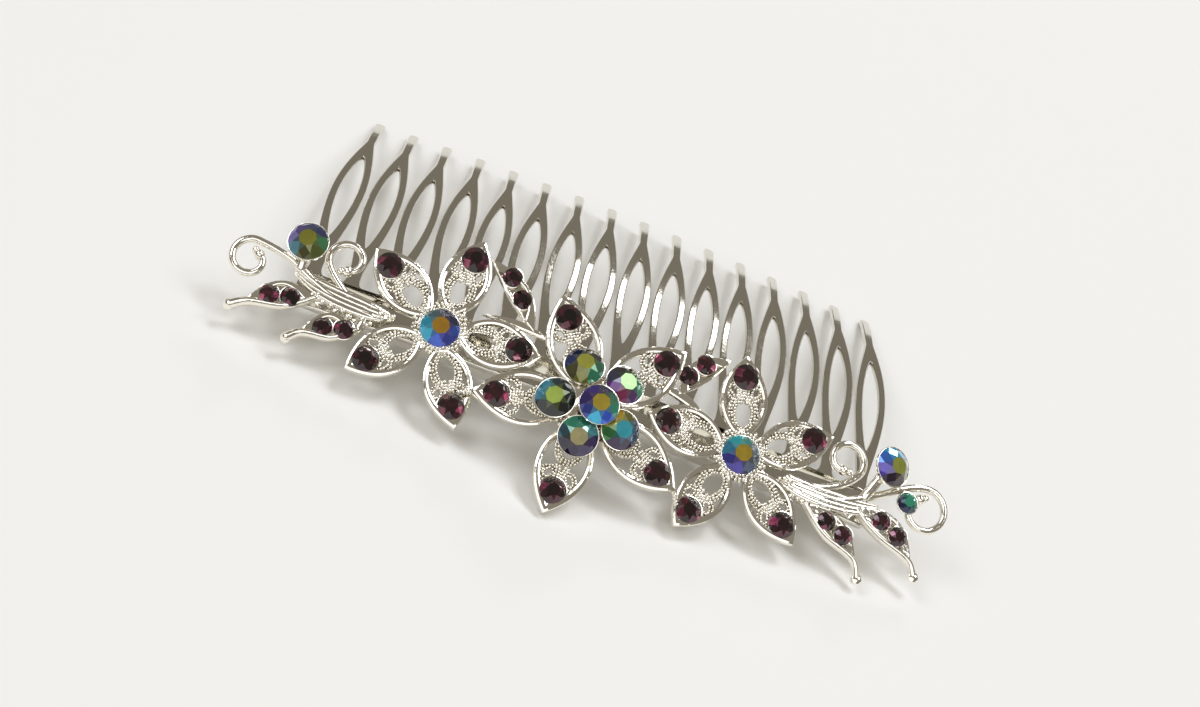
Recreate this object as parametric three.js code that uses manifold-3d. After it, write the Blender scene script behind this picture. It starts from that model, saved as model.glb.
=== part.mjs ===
// Decorative hair comb, in millimetres. +X runs along the comb, +Y towards the tooth tips, +Z is up.
// The comb lies face up, on the tips of its end teeth and the lowest petal of the middle flower.
// The castings lie on one gently bowed panel that leans over the comb's spine. A place on the panel
// is given as u along the comb, v up the panel's slope and lift along its normal; lift 0 is the
// level of the stones' girdles.
import * as THREE from 'three';
import { mergeVertices } from 'three/addons/utils/BufferGeometryUtils.js';
import Module from 'manifold-3d';

const wasm = await Module();
wasm.setup();

const degrees = THREE.MathUtils.degToRad;

// ---------------------------------------------------------------- driving dimensions

const gap = 0.3; // between pieces that are soldered face to face

const comb = {
  teeth: 16,
  pitch: 5.5,
  thickness: 0.8,
  toothLength: 47,
  toothBendRadius: 94,
  rootFlare: 0.45,
  rootFlareLength: 1.2,
  rootInSpine: 0.6,
  loopStart: 3,
  stemHalfWidth: 0.95,
  neckHalfWidth: 0.72,
  loopBulge: 1.6,
  tipLength: 10.2,
  tipHalfWidth: 0.78,
  tipCorner: 0.4,
  eyeStart: 8,
  eyeEnd: 31,
  eyeHalfWidth: 1.35,
  spineHeight: 6.5,
  spineThickness: 1.0,
  spineOverhang: 1.6,
  spineSlope: degrees(5.3),
  spineEdge: { x: 0.4, y: 2.05, z: 5.9 }, // middle of the spine's long edge on the teeth's side
  bowRadius: 500,
};

const panel = { height: 11.15, slope: degrees(30), bowRadius: 363 };
const restTilt = degrees(2.5); // lean that brings the lowest petal down to the table

const casting = {
  top: 0.1, depth: 1.4, rim: 0.9, hubTop: -0.1, hubDrop: 0.05, floorTop: -0.3, floorDepth: 0.6,
  centreStoneLift: 0.15,
};
const wire = { radius: 0.6, level: -0.35, ball: 0.85, knob: 0.85, knobDrop: 0.3, steps: 24, curlSteps: 10 };

const stoneSizes = {
  large: { diameter: 5.5, table: 2.5, crown: 1.3, girdle: 0.12, pavilion: 0.9 },
  petal: { diameter: 3.8, table: 1.8, crown: 0.9, girdle: 0.1, pavilion: 0.8 },
  accent: { diameter: 3.0, table: 1.4, crown: 0.75, girdle: 0.1, pavilion: 0.65 },
  leaf: { diameter: 2.8, table: 1.3, crown: 0.65, girdle: 0.1, pavilion: 0.65 },
};
const setting = { clearance: 0.12, wall: 0.28, lip: 0.1, floor: 0.3, taper: 0.8, sides: 12 };

// Each flower: its centre beyond the middle of the comb, its petals' directions and sizes.
const sideFlower = { reach: 14.3, halfWidth: 3.45, hub: 3.2, stoneAt: 11.2, lift: 0 };
const flowers = {
  left: { ...sideFlower, v: -4.1, petals: [4, 82, 146, 223, 296] },
  centre: {
    u: 0.6, v: -7.8, reach: 16.3, halfWidth: 3.9, hub: 4.2, stoneAt: 12.9, lift: 1.8,
    petals: [51, 122, 194, 266, 336],
  },
  right: { ...sideFlower, v: -5.0, petals: [35, 106, 179, 248, 322] },
};
const leftFlowerShift = 0.4; // how much farther out the left flower stands than the right one
const petalOverlap = 8.4; // how far a side flower's reach runs in over the middle flower's
const flowerSpacing = flowers.centre.reach + sideFlower.reach - petalOverlap;
flowers.left.u = flowers.centre.u - flowerSpacing - leftFlowerShift;
flowers.right.u = flowers.centre.u + flowerSpacing;
const petal = {
  root: 2.6, rootHalfWidth: 0.8, opening: 6.0, openingLength: 4.0, openingWidth: 2.5,
  tipRims: 1.8, // rim widths between the inside's tip and the petal's
};
// Pulls on a petal's side, as shares of its length and of its half width.
const petalPulls = { inner: { along: 0.22, aside: 1.13 }, outer: { along: 0.63, aside: 1.45 } };
const petalFloor = { centre: 5.9, halfLength: 3.4, inset: 0.35 };

const cluster = {
  stoneGap: 0.61, ringLift: 2.3, ringTilt: degrees(15), topLift: 4.1, topAt: [0.7, -0.5],
  base: 4.4, baseTop: 1.7, column: 1.2, columnSink: 0.2,
};
// The ring is as wide as its stones need, side by side.
const ringSpacing = stoneSizes.large.diameter + cluster.stoneGap;
cluster.ringRadius = ringSpacing / (2 * Math.sin(Math.PI / flowers.centre.petals.length));

// A spray's places are outward (mirrored on the left) and up from a point just past the flower's
// petals. A curl starts at an angle and winds in from radius to innerRadius through its sweep.
const sprayPast = { out: 3.2, up: 1.0 };
const sprays = {
  left: {
    side: -1, flower: flowers.left,
    longStem: [[-8.4, -2.5], [-3.4, -1.7], [1.1, 0.1], [4.9, 2.1]],
    longCurl: { centre: [9.8, 0.6], radius: 2.8, innerRadius: 1.2, start: 110, sweep: -325 },
    shortStem: [[-9.4, -1.8], [-5.4, -1.3], [-2.7, 0.5]],
    shortCurl: { centre: [-2.7, 4.1], radius: 2.5, innerRadius: 1.5, start: -40, sweep: 290 },
    leaves: [
      { joint: [-3.0, -1.6], base: [-0.3, -2.2], tip: [8.6, -5.4], bulge: 2.5, belly: 0.9,
        knob: [10.6, -6.7], stones: [[3.0, -3.3], [5.9, -3.8]] },
      { joint: [-7.4, -2.4], base: [-6.9, -4.9], tip: [0.3, -7.4], bulge: 2.4, belly: 0.9,
        knob: [1.9, -8.8], stones: [[-5.2, -5.5], [-2.3, -6.1]] },
    ],
    endStone: { at: [3.0, 4.5], lift: 1.6, tilt: [degrees(-4), degrees(5)] },
    accent: null,
  },
  right: {
    side: 1, flower: flowers.right,
    longStem: [[-9.4, -2.1], [-4.8, -1.8], [-0.8, -0.1], [3.2, 2.6], [6.0, 4.9]],
    longCurl: { centre: [10.0, 3.5], radius: 3.15, innerRadius: 1.6, start: 112, sweep: -340 },
    shortStem: [[-10.0, -1.1], [-5.8, -0.6], [-2.7, 1.3]],
    shortCurl: { centre: [-3.0, 4.9], radius: 2.6, innerRadius: 1.4, start: -35, sweep: 305 },
    leaves: [
      { joint: [-2.0, -0.8], base: [0.6, -0.7], tip: [10.6, -4.2], bulge: 3.1, belly: 0.5,
        knob: [11.9, -6.0], stones: [[4.6, -0.8], [7.7, -1.8]] },
      { joint: [-7.4, -2.2], base: [-6.4, -3.4], tip: [3.0, -7.6], bulge: 2.5, belly: 0.8,
        knob: [4.3, -9.9], stones: [[-2.8, -4.4], [0.2, -5.2]] },
    ],
    endStone: { at: [3.0, 6.6], lift: 1.6, tilt: [degrees(-6), degrees(15)] },
    accent: { at: [7.2, 3.2], lift: 0.3 },
  },
};
const sprayRoot = { base: [-11.0, -1.6], tip: [2.6, -0.6], bulge: 1.0, belly: 1.7, top: -0.2, bottom: -1.2 };
const stalkRadius = 0.75;
const leafStem = { radius: 0.6, inside: 0.2, drop: 0.2, steps: 4 };
const straightSteps = 2;
const leafWall = { top: 0.1, bottom: -1.2 };
const ribbonWall = { top: 0, bottom: -0.9 };

// The upper leaves lie behind the flowers, between the side flowers' top petals and the middle one.
const upperLeafLift = -1.7;
const upperLeaves = {
  left: {
    at: [-14.4, 4.9], base: [4.6, -4.5], tip: [-4.2, 3.6], bulge: -2.6, belly: -0.5,
    stones: [[-0.7, 2.1], [1.6, -0.5]],
    ribbon: { base: [-3.0, -4.5], tip: [8.2, -5.0], bulge: 1.3, belly: -0.1 },
  },
  right: {
    at: [13.4, 5.0], base: [-1.2, -5.1], tip: [4.3, 2.7], bulge: 2.7, belly: 0.7,
    stones: [[1.1, 0.6], [-0.7, -1.95]],
    ribbon: { base: [-5.0, -5.0], tip: [3.9, -6.9], bulge: 1.6, belly: -0.2 },
  },
};

// Solder posts between the spine and the castings: place, radius, and the underside they meet.
const castingUnderside = casting.top - casting.depth;
const solderSides = 10;
const solderTopGap = 1.2 * gap; // the castings bow across a post's top
const solderJoints = [
  { name: 'left_spray_solder', x: -36.9, y: -3.4, radius: 0.7, under: sprayRoot.bottom },
  { name: 'left_flower_solder', x: flowers.left.u, y: -2.6, radius: 1.3, under: castingUnderside },
  { name: 'centre_flower_solder', x: flowers.centre.u, y: -4.0, radius: 0.7,
    under: flowers.centre.lift + castingUnderside },
  { name: 'right_flower_solder', x: flowers.right.u, y: -3.0, radius: 1.3, under: castingUnderside },
  { name: 'right_spray_solder', x: 37.4, y: -3.9, radius: 0.7, under: sprayRoot.bottom },
];

const finishes = {
  metal: new THREE.MeshStandardMaterial({ color: 0xd8d6cf, roughness: 0.18, metalness: 1 }),
  solder: new THREE.MeshStandardMaterial({ color: 0xb9b6ad, roughness: 0.4, metalness: 1 }),
  aurora: new THREE.MeshStandardMaterial({ color: 0x24557f, roughness: 0.08, metalness: 0.6 }),
  amethyst: new THREE.MeshStandardMaterial({ color: 0x3a1020, roughness: 0.08, metalness: 0.3 }),
};

// ---------------------------------------------------------------- solids and outlines

/** Turns a closed geometry into a solid, leaving out triangles that have no area. */
function toSolid(geometry) {
  const bare = geometry.clone();
  bare.deleteAttribute('normal');
  bare.deleteAttribute('uv');
  const merged = mergeVertices(bare, 1e-4);
  const corners = merged.index.array;
  const kept = [];
  for (let i = 0; i < corners.length; i += 3) {
    const [a, b, c] = corners.slice(i, i + 3);
    if (a !== b && b !== c && c !== a) kept.push(a, b, c);
  }
  return new wasm.Manifold(new wasm.Mesh({
    numProp: 3,
    vertProperties: new Float32Array(merged.attributes.position.array),
    triVerts: new Uint32Array(kept),
  }));
}

/** Joins closed geometries and cuts others out of the result. */
function joinAndCut(joined, cuts = []) {
  const body = joined.map(toSolid).reduce((whole, piece) => whole.add(piece));
  const cut = cuts.map(toSolid).reduce((whole, piece) => whole.subtract(piece), body);
  const mesh = cut.getMesh();
  const geometry = new THREE.BufferGeometry();
  geometry.setAttribute('position', new THREE.BufferAttribute(mesh.vertProperties, 3));
  geometry.setIndex(new THREE.BufferAttribute(mesh.triVerts, 1));
  geometry.computeVertexNormals();
  return geometry;
}

/** A flat plate of an outline, between two levels. */
function plate(shape, bottom, top, curveSegments = 6) {
  const depth = top - bottom;
  return new THREE.ExtrudeGeometry(shape, { depth, bevelEnabled: false, curveSegments })
    .translate(0, 0, bottom);
}

/** A round disc between two levels. */
function disc(radius, bottom, top, sides = setting.sides) {
  return new THREE.CylinderGeometry(radius, radius, top - bottom, sides)
    .rotateX(Math.PI / 2).translate(0, 0, (top + bottom) / 2);
}

/** A round bar of constant radius through points. */
function bar(points, radius, steps) {
  const section = new THREE.Shape().absarc(0, 0, radius, 0, 2 * Math.PI);
  const path = new THREE.CatmullRomCurve3(points);
  return new THREE.ExtrudeGeometry(section, { extrudePath: path, steps, curveSegments: 3 });
}

/** A small ball at a point. */
function ball(radius, { x, y, z }) {
  return new THREE.SphereGeometry(radius, 6, 4).translate(x, y, z);
}

/** A pointed leaf outline; bulge and belly are how far its two sides bow out from the chord. */
function leafOutline([baseX, baseY], [tipX, tipY], bulge, belly) {
  const base = new THREE.Vector2(baseX, baseY);
  const tip = new THREE.Vector2(tipX, tipY);
  const middle = base.clone().add(tip).multiplyScalar(0.5);
  const along = tip.clone().sub(base).normalize();
  const aside = new THREE.Vector2(-along.y, along.x);
  const upper = middle.clone().addScaledVector(aside, 2 * bulge);
  const lower = middle.clone().addScaledVector(aside, -2 * belly);
  return new THREE.Shape()
    .moveTo(base.x, base.y)
    .quadraticCurveTo(upper.x, upper.y, tip.x, tip.y)
    .quadraticCurveTo(lower.x, lower.y, base.x, base.y);
}

/** The outline of a petal along +X, broadest just past its middle. */
function petalOutline(root, reach, halfWidth, rootHalfWidth) {
  const length = reach - root;
  const [inner, outer] = [petalPulls.inner, petalPulls.outer]
    .map(({ along, aside }) => [root + along * length, aside * halfWidth]);
  return new THREE.Shape()
    .moveTo(root, -rootHalfWidth)
    .bezierCurveTo(inner[0], -inner[1], outer[0], -outer[1], reach, 0)
    .bezierCurveTo(outer[0], outer[1], inner[0], inner[1], root, rootHalfWidth)
    .lineTo(root, -rootHalfWidth);
}

/** The points of a curl that winds in about its centre, tightening towards its end. */
function curlPoints({ centre, radius, innerRadius, start, sweep }, steps) {
  return Array.from({ length: steps + 1 }, (_, i) => {
    const wound = i / steps;
    const angle = degrees(start + sweep * wound);
    const distance = radius - (radius - innerRadius) * wound ** 3;
    return [centre[0] + distance * Math.cos(angle), centre[1] + distance * Math.sin(angle)];
  });
}

// ---------------------------------------------------------------- places

/** The group whose axes lie in the panel at (u, v), with its origin at a lift along the normal. */
function panelGroup(u, v, lift) {
  const group = new THREE.Group();
  group.rotation.set(panel.slope, Math.atan(u / panel.bowRadius), 0, 'YXZ');
  const normal = new THREE.Vector3(0, 0, 1).applyEuler(group.rotation);
  const y = v * Math.cos(panel.slope);
  const z = panelHeight(u, y);
  group.position.set(u, y, z).addScaledVector(normal, lift);
  return group;
}

/** Height of the panel above a point. */
function panelHeight(x, y) {
  return panel.height + y * Math.tan(panel.slope) - x ** 2 / (2 * panel.bowRadius);
}

/** Height of the spine's upper face above a point. */
function spineTop(x, y) {
  const middle = comb.spineEdge.z + (y - comb.spineEdge.y) * Math.tan(comb.spineSlope);
  return middle + comb.spineThickness / 2 - (x - comb.spineEdge.x) ** 2 / (2 * comb.bowRadius);
}

function addMesh(parent, name, geometry, material) {
  const mesh = new THREE.Mesh(geometry, material);
  mesh.name = name;
  parent.add(mesh);
  return mesh;
}

// ---------------------------------------------------------------- the stamped comb

/** Moves flat (x, s, n) points onto the comb: s along a tooth, n through the sheet. */
function bendTooth(geometry) {
  const points = geometry.attributes.position;
  for (let i = 0; i < points.count; i++) {
    const along = points.getY(i);
    const curve = Math.max(along, 0) / comb.toothBendRadius;
    const slope = comb.spineSlope - curve;
    const straight = Math.min(along, 0);
    const y = straight * Math.cos(slope)
      + comb.toothBendRadius * (Math.sin(comb.spineSlope) - Math.sin(slope));
    const z = straight * Math.sin(slope)
      + comb.toothBendRadius * (Math.cos(slope) - Math.cos(comb.spineSlope));
    const through = points.getZ(i);
    points.setY(i, y - through * Math.sin(slope));
    points.setZ(i, z + through * Math.cos(slope));
  }
  return geometry;
}

/** Turns a piece about the axis of the spine's bow, so that it stands at a place along the comb. */
function bow(geometry, x) {
  return geometry
    .translate(0, 0, comb.bowRadius)
    .rotateY(x / comb.bowRadius)
    .translate(0, 0, -comb.bowRadius);
}

/** One side of a tooth from its root to its tip, as [half width, distance along] pairs. */
function toothSide() {
  const shoulder = comb.toothLength - comb.tipLength;
  const steps = 8;
  const side = [
    [comb.stemHalfWidth + comb.rootFlare, -comb.rootInSpine],
    [comb.stemHalfWidth + comb.rootFlare, 0],
    [comb.stemHalfWidth, comb.rootFlareLength],
  ];
  for (let i = 0; i <= steps; i++) {
    const t = i / steps;
    const taper = THREE.MathUtils.lerp(comb.stemHalfWidth, comb.neckHalfWidth, t);
    const bulge = comb.loopBulge * Math.sin(Math.PI * t);
    side.push([taper + bulge, THREE.MathUtils.lerp(comb.loopStart, shoulder, t)]);
  }
  side.push([comb.tipHalfWidth, comb.toothLength - comb.tipCorner]);
  side.push([comb.tipHalfWidth - comb.tipCorner, comb.toothLength]);
  return side;
}

/** The eye of a tooth's loop, pointed at the tip end. */
function toothEye() {
  const steps = 6;
  const side = Array.from({ length: steps + 1 }, (_, i) => {
    const halfWidth = comb.eyeHalfWidth * Math.sin(Math.PI * i / steps) ** 0.75;
    return new THREE.Vector2(halfWidth, THREE.MathUtils.lerp(comb.eyeStart, comb.eyeEnd, i / steps));
  });
  const back = side.slice(1, -1).reverse().map(({ x, y }) => new THREE.Vector2(-x, y));
  return new THREE.Path([...side, ...back]);
}

function toothGeometry() {
  const side = toothSide().map(([x, y]) => new THREE.Vector2(x, y));
  const back = side.map(({ x, y }) => new THREE.Vector2(-x, y)).reverse();
  const shape = new THREE.Shape([...side, ...back]);
  shape.holes.push(toothEye());
  return bendTooth(plate(shape, -comb.thickness / 2, comb.thickness / 2));
}

function spineGeometry() {
  const halfLength = comb.pitch * (comb.teeth - 1) / 2 + comb.spineOverhang;
  const half = comb.spineThickness / 2;
  const section = new THREE.Shape([
    new THREE.Vector2(-comb.spineHeight, -half), new THREE.Vector2(0, -half),
    new THREE.Vector2(0, half), new THREE.Vector2(-comb.spineHeight, half),
  ]);
  const steps = 2 * comb.teeth + 1; // odd, so that a flat facet lies at the middle
  const geometry = new THREE.ExtrudeGeometry(section, { depth: 2 * halfLength, steps, bevelEnabled: false });
  const points = geometry.attributes.position;
  for (let i = 0; i < points.count; i++) {
    const [along, through, x] = [points.getX(i), points.getY(i), points.getZ(i) - halfLength];
    const y = along * Math.cos(comb.spineSlope) - through * Math.sin(comb.spineSlope);
    const z = along * Math.sin(comb.spineSlope) + through * Math.cos(comb.spineSlope);
    const angle = x / comb.bowRadius;
    const radius = comb.bowRadius + z;
    points.setXYZ(i, radius * Math.sin(angle), y, radius * Math.cos(angle) - comb.bowRadius);
  }
  return geometry;
}

function combGeometry() {
  const pieces = [spineGeometry()];
  for (let i = 0; i < comb.teeth; i++) {
    pieces.push(bow(toothGeometry(), (i - (comb.teeth - 1) / 2) * comb.pitch));
  }
  return joinAndCut(pieces);
}

// ---------------------------------------------------------------- stones and their cups

/** A point-backed stone: table, crown facets, girdle and pavilion. The top of its girdle is at 0. */
function stoneGeometry({ diameter, table, crown, girdle, pavilion }) {
  const facets = 8;
  const points = [];
  const ring = (radius, height) => {
    const first = points.length / 3;
    for (let i = 0; i < facets; i++) {
      const angle = 2 * Math.PI * (i + 0.5) / facets;
      points.push(radius * Math.cos(angle), radius * Math.sin(angle), height);
    }
    return first;
  };
  const top = ring(table / 2, crown);
  const upper = ring(diameter / 2, 0);
  const lower = ring(diameter / 2, -girdle);
  const culet = points.length / 3;
  points.push(0, 0, -pavilion);
  const faces = [];
  for (let i = 1; i < facets - 1; i++) faces.push(top, top + i, top + i + 1);
  for (let i = 0; i < facets; i++) {
    const next = (i + 1) % facets;
    for (const [above, below] of [[top, upper], [upper, lower]]) {
      faces.push(above + i, below + i, below + next, above + i, below + next, above + next);
    }
    faces.push(lower + i, culet, lower + next);
  }
  const geometry = new THREE.BufferGeometry();
  geometry.setAttribute('position', new THREE.Float32BufferAttribute(points, 3));
  geometry.setIndex(faces);
  geometry.computeVertexNormals();
  return geometry;
}

/** A solid of revolution about Z through [radius, height] pairs that start and end on the axis. */
function turned(profile) {
  const points = profile.map(([radius, height]) => new THREE.Vector2(radius, height));
  return new THREE.LatheGeometry(points, setting.sides).rotateX(Math.PI / 2);
}

/** The cup that holds a stone, and the room for the whole stone that is cut in it and its neighbours. */
function cupFor({ diameter, table, crown, girdle, pavilion }) {
  const pocket = (diameter / 2 + setting.clearance) / Math.cos(Math.PI / setting.sides);
  const outer = pocket + setting.wall;
  const depth = pavilion + setting.clearance + setting.floor;
  const mouth = setting.lip + setting.clearance;
  return {
    body: turned([[0, -depth], [outer * setting.taper, -depth], [outer, setting.lip], [0, setting.lip]]),
    pocket: turned([
      [0, -pavilion - setting.clearance],
      [pocket, -girdle - setting.clearance],
      [pocket, mouth],
      [table / 2 + 2 * setting.clearance, crown + setting.clearance],
      [0, crown + setting.clearance],
    ]),
  };
}

/** Where a stone sits in its casting: x, y, lift, and its lean about X and then about Y. */
function seat(x, y, lift = 0, leanX = 0, leanY = 0) {
  return new THREE.Matrix4().compose(
    new THREE.Vector3(x, y, lift),
    new THREE.Quaternion().setFromEuler(new THREE.Euler(leanX, leanY, 0)),
    new THREE.Vector3(1, 1, 1),
  );
}

/** Adds one casting and the stones in its cups: settings are { name, size, at, finish }. */
function addSetCasting(group, name, pieces, settings) {
  const cups = settings.map(({ size, at }) => {
    const { body, pocket } = cupFor(size);
    return { body: body.applyMatrix4(at), pocket: pocket.applyMatrix4(at) };
  });
  const joined = [...pieces, ...cups.map(({ body }) => body)];
  addMesh(group, name, joinAndCut(joined, cups.map(({ pocket }) => pocket)), finishes.metal);
  for (const { name: stoneName, size, at, finish } of settings) {
    addMesh(group, stoneName, stoneGeometry(size), finish).applyMatrix4(at);
  }
}

// ---------------------------------------------------------------- flowers

/** A petal along +X: a raised rim, and a pierced floor in its inner half. */
function petalPieces({ reach, halfWidth }) {
  const rim = petalOutline(petal.root, reach, halfWidth, petal.rootHalfWidth);
  const inside = petalOutline(
    petal.root + casting.rim, reach - petal.tipRims * casting.rim, halfWidth - casting.rim,
    petal.rootHalfWidth / 2,
  );
  rim.holes.push(inside);
  const floor = new THREE.Shape()
    .absellipse(petalFloor.centre, 0, petalFloor.halfLength, halfWidth - petalFloor.inset, 0, 2 * Math.PI);
  floor.holes.push(new THREE.Path()
    .absellipse(petal.opening, 0, petal.openingLength / 2, petal.openingWidth / 2, 0, 2 * Math.PI));
  return [
    plate(rim, castingUnderside, casting.top),
    plate(floor, casting.floorTop - casting.floorDepth, casting.floorTop, 5),
  ];
}

function addFlower(parent, name, flower, centreStone) {
  const group = panelGroup(flower.u, flower.v, flower.lift);
  const pieces = [disc(flower.hub, castingUnderside - casting.hubDrop, casting.hubTop)];
  const settings = [];
  flower.petals.forEach((direction, i) => {
    const angle = degrees(direction);
    pieces.push(...petalPieces(flower).map((piece) => piece.rotateZ(angle)));
    settings.push({
      name: `${name}_petal_stone_${i + 1}`,
      size: stoneSizes.petal,
      at: seat(flower.stoneAt * Math.cos(angle), flower.stoneAt * Math.sin(angle)),
      finish: finishes.amethyst,
    });
  });
  if (centreStone) {
    settings.push({
      name: centreStone,
      size: stoneSizes.large,
      at: seat(0, 0, casting.centreStoneLift),
      finish: finishes.aurora,
    });
  }
  addSetCasting(group, name, pieces, settings);
  parent.add(group);
}

/** The raised group of cups over the middle flower: five in a ring, one over them. */
function addCluster(parent) {
  const flower = flowers.centre;
  const group = panelGroup(flower.u, flower.v, flower.lift);
  const [topX, topY] = cluster.topAt;
  const settings = flower.petals.map((direction, i) => {
    const angle = degrees(direction);
    const [x, y] = [Math.cos(angle), Math.sin(angle)];
    return {
      name: `cluster_stone_${i + 1}`,
      size: stoneSizes.large,
      at: seat(cluster.ringRadius * x, cluster.ringRadius * y, cluster.ringLift,
        -cluster.ringTilt * y, cluster.ringTilt * x),
      finish: finishes.aurora,
    };
  });
  settings.push({
    name: 'cluster_top_stone', size: stoneSizes.large, at: seat(topX, topY, cluster.topLift),
    finish: finishes.aurora,
  });
  const columnTop = cluster.topLift - stoneSizes.large.pavilion - setting.clearance - setting.floor / 2;
  const pieces = [
    disc(cluster.base, casting.hubTop + gap, cluster.baseTop),
    disc(cluster.column, cluster.baseTop - cluster.columnSink, columnTop).translate(topX, topY, 0),
  ];
  addSetCasting(group, 'stone_cluster', pieces, settings);
  parent.add(group);
}

// ---------------------------------------------------------------- sprays and upper leaves

function addSpray(parent, name, spray) {
  const { side, flower } = spray;
  const group = panelGroup(
    flower.u + side * (flower.reach + sprayPast.out), flower.v + sprayPast.up, flower.lift,
  );
  const flat = ([x, y]) => [side * x, y];
  const raised = ([x, y], level) => new THREE.Vector3(side * x, y, level);
  const outline = (base, tip, bulge, belly) => leafOutline(flat(base), flat(tip), side * bulge, side * belly);
  const root = outline(sprayRoot.base, sprayRoot.tip, sprayRoot.bulge, sprayRoot.belly);
  const pieces = [plate(root, sprayRoot.bottom, sprayRoot.top)];
  const settings = [];

  for (const [stem, curl] of [[spray.longStem, spray.longCurl], [spray.shortStem, spray.shortCurl]]) {
    const points = [...stem, ...curlPoints(curl, wire.curlSteps)].map((point) => raised(point, wire.level));
    pieces.push(bar(points, wire.radius, wire.steps), ball(wire.ball, points.at(-1)));
  }
  spray.leaves.forEach((leaf, i) => {
    const knob = raised(leaf.knob, wire.level - wire.knobDrop);
    const [base, tip, joint] = [leaf.base, leaf.tip, leaf.joint]
      .map((point) => raised(point, wire.level - leafStem.drop));
    const [stemEnd, tailStart] = [leafStem.inside, 1 - leafStem.inside].map((t) => base.clone().lerp(tip, t));
    pieces.push(plate(outline(leaf.base, leaf.tip, leaf.bulge, leaf.belly), leafWall.bottom, leafWall.top));
    pieces.push(bar([joint, base, stemEnd], leafStem.radius, leafStem.steps));
    pieces.push(bar([tailStart, tailStart.clone().lerp(knob, 0.5), knob], wire.radius, straightSteps));
    pieces.push(ball(wire.knob, knob));
    leaf.stones.forEach((at, k) => settings.push({
      name: `${name}_leaf_stone_${2 * i + k + 1}`,
      size: stoneSizes.leaf,
      at: seat(side * at[0], at[1]),
      finish: finishes.amethyst,
    }));
  });

  const { at, lift, tilt } = spray.endStone;
  const cupFloor = lift - stoneSizes.large.pavilion - setting.clearance;
  const [before, after] = spray.longStem.slice(2, 4).map((point) => raised(point, wire.level));
  const foot = before.lerp(after, 0.5);
  const cupBase = raised(at, cupFloor);
  pieces.push(bar([foot, foot.clone().lerp(cupBase, 0.5), cupBase], stalkRadius, straightSteps));
  settings.push({
    name: `${name}_end_stone`,
    size: stoneSizes.large,
    at: seat(side * at[0], at[1], lift, tilt[0], side * tilt[1]),
    finish: finishes.aurora,
  });
  if (spray.accent) {
    const { at: accentAt, lift: accentLift } = spray.accent;
    settings.push({
      name: `${name}_scroll_stone`,
      size: stoneSizes.accent,
      at: seat(side * accentAt[0], accentAt[1], accentLift),
      finish: finishes.aurora,
    });
  }
  addSetCasting(group, name, pieces, settings);
  parent.add(group);
}

function addUpperLeaf(parent, name, leaf) {
  const group = panelGroup(leaf.at[0], leaf.at[1], upperLeafLift);
  const { ribbon } = leaf;
  const pieces = [
    plate(leafOutline(leaf.base, leaf.tip, leaf.bulge, leaf.belly), leafWall.bottom, leafWall.top),
    plate(
      leafOutline(ribbon.base, ribbon.tip, ribbon.bulge, ribbon.belly), ribbonWall.bottom, ribbonWall.top,
    ),
  ];
  const settings = leaf.stones.map((at, i) => ({
    name: `${name}_stone_${i + 1}`, size: stoneSizes.leaf, at: seat(at[0], at[1]), finish: finishes.amethyst,
  }));
  addSetCasting(group, name, pieces, settings);
  parent.add(group);
}

// ---------------------------------------------------------------- solder

/** A post of solder from the spine up to a casting's underside, a gap short of both. */
function solderGeometry({ x, y, radius, under }) {
  const rise = under / Math.cos(panel.slope);
  const geometry = new THREE.CylinderGeometry(radius, radius, 1, solderSides)
    .rotateX(Math.PI / 2).translate(x, y, 0);
  const points = geometry.attributes.position;
  for (let i = 0; i < points.count; i++) {
    const [px, py] = [points.getX(i), points.getY(i)];
    const height = points.getZ(i) > 0 ? panelHeight(px, py) + rise - solderTopGap : spineTop(px, py) + gap;
    points.setZ(i, height);
  }
  return geometry;
}

// ---------------------------------------------------------------- the whole comb

const hairComb = new THREE.Group();
const tilted = new THREE.Group();
tilted.rotation.x = restTilt;
hairComb.add(tilted);

addMesh(tilted, 'comb', combGeometry(), finishes.metal).position.copy(comb.spineEdge);
for (const joint of solderJoints) addMesh(tilted, joint.name, solderGeometry(joint), finishes.solder);
addFlower(tilted, 'left_flower', flowers.left, 'left_flower_centre_stone');
addFlower(tilted, 'centre_flower', flowers.centre, null);
addFlower(tilted, 'right_flower', flowers.right, 'right_flower_centre_stone');
addCluster(tilted);
addSpray(tilted, 'left_spray', sprays.left);
addSpray(tilted, 'right_spray', sprays.right);
addUpperLeaf(tilted, 'left_upper_leaf', upperLeaves.left);
addUpperLeaf(tilted, 'right_upper_leaf', upperLeaves.right);

// The origin is at the middle of the comb's footprint, on the table.
hairComb.updateMatrixWorld(true);
const extent = new THREE.Box3().setFromObject(hairComb, true);
const middle = extent.getCenter(new THREE.Vector3());
hairComb.position.set(-middle.x, -middle.y, -extent.min.z);

export default hairComb;
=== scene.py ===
"""Decorative hair comb: the visual model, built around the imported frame.

A stamped comb of looped teeth carries three cast filigree flowers, two scrolled leaf sprays, two upper
leaves and a raised cluster of cups. The cups hold iridescent and deep purple cut-glass stones.
Sizes are in millimetres in each piece's own flat frame, and places come from the frame's stones.
"""

import logging
import math
import random
from dataclasses import dataclass, field
from enum import Enum
from typing import Any, Callable, ClassVar, Sequence

import bpy
import numpy as np
from mathutils import Matrix, Quaternion, Vector


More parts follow.
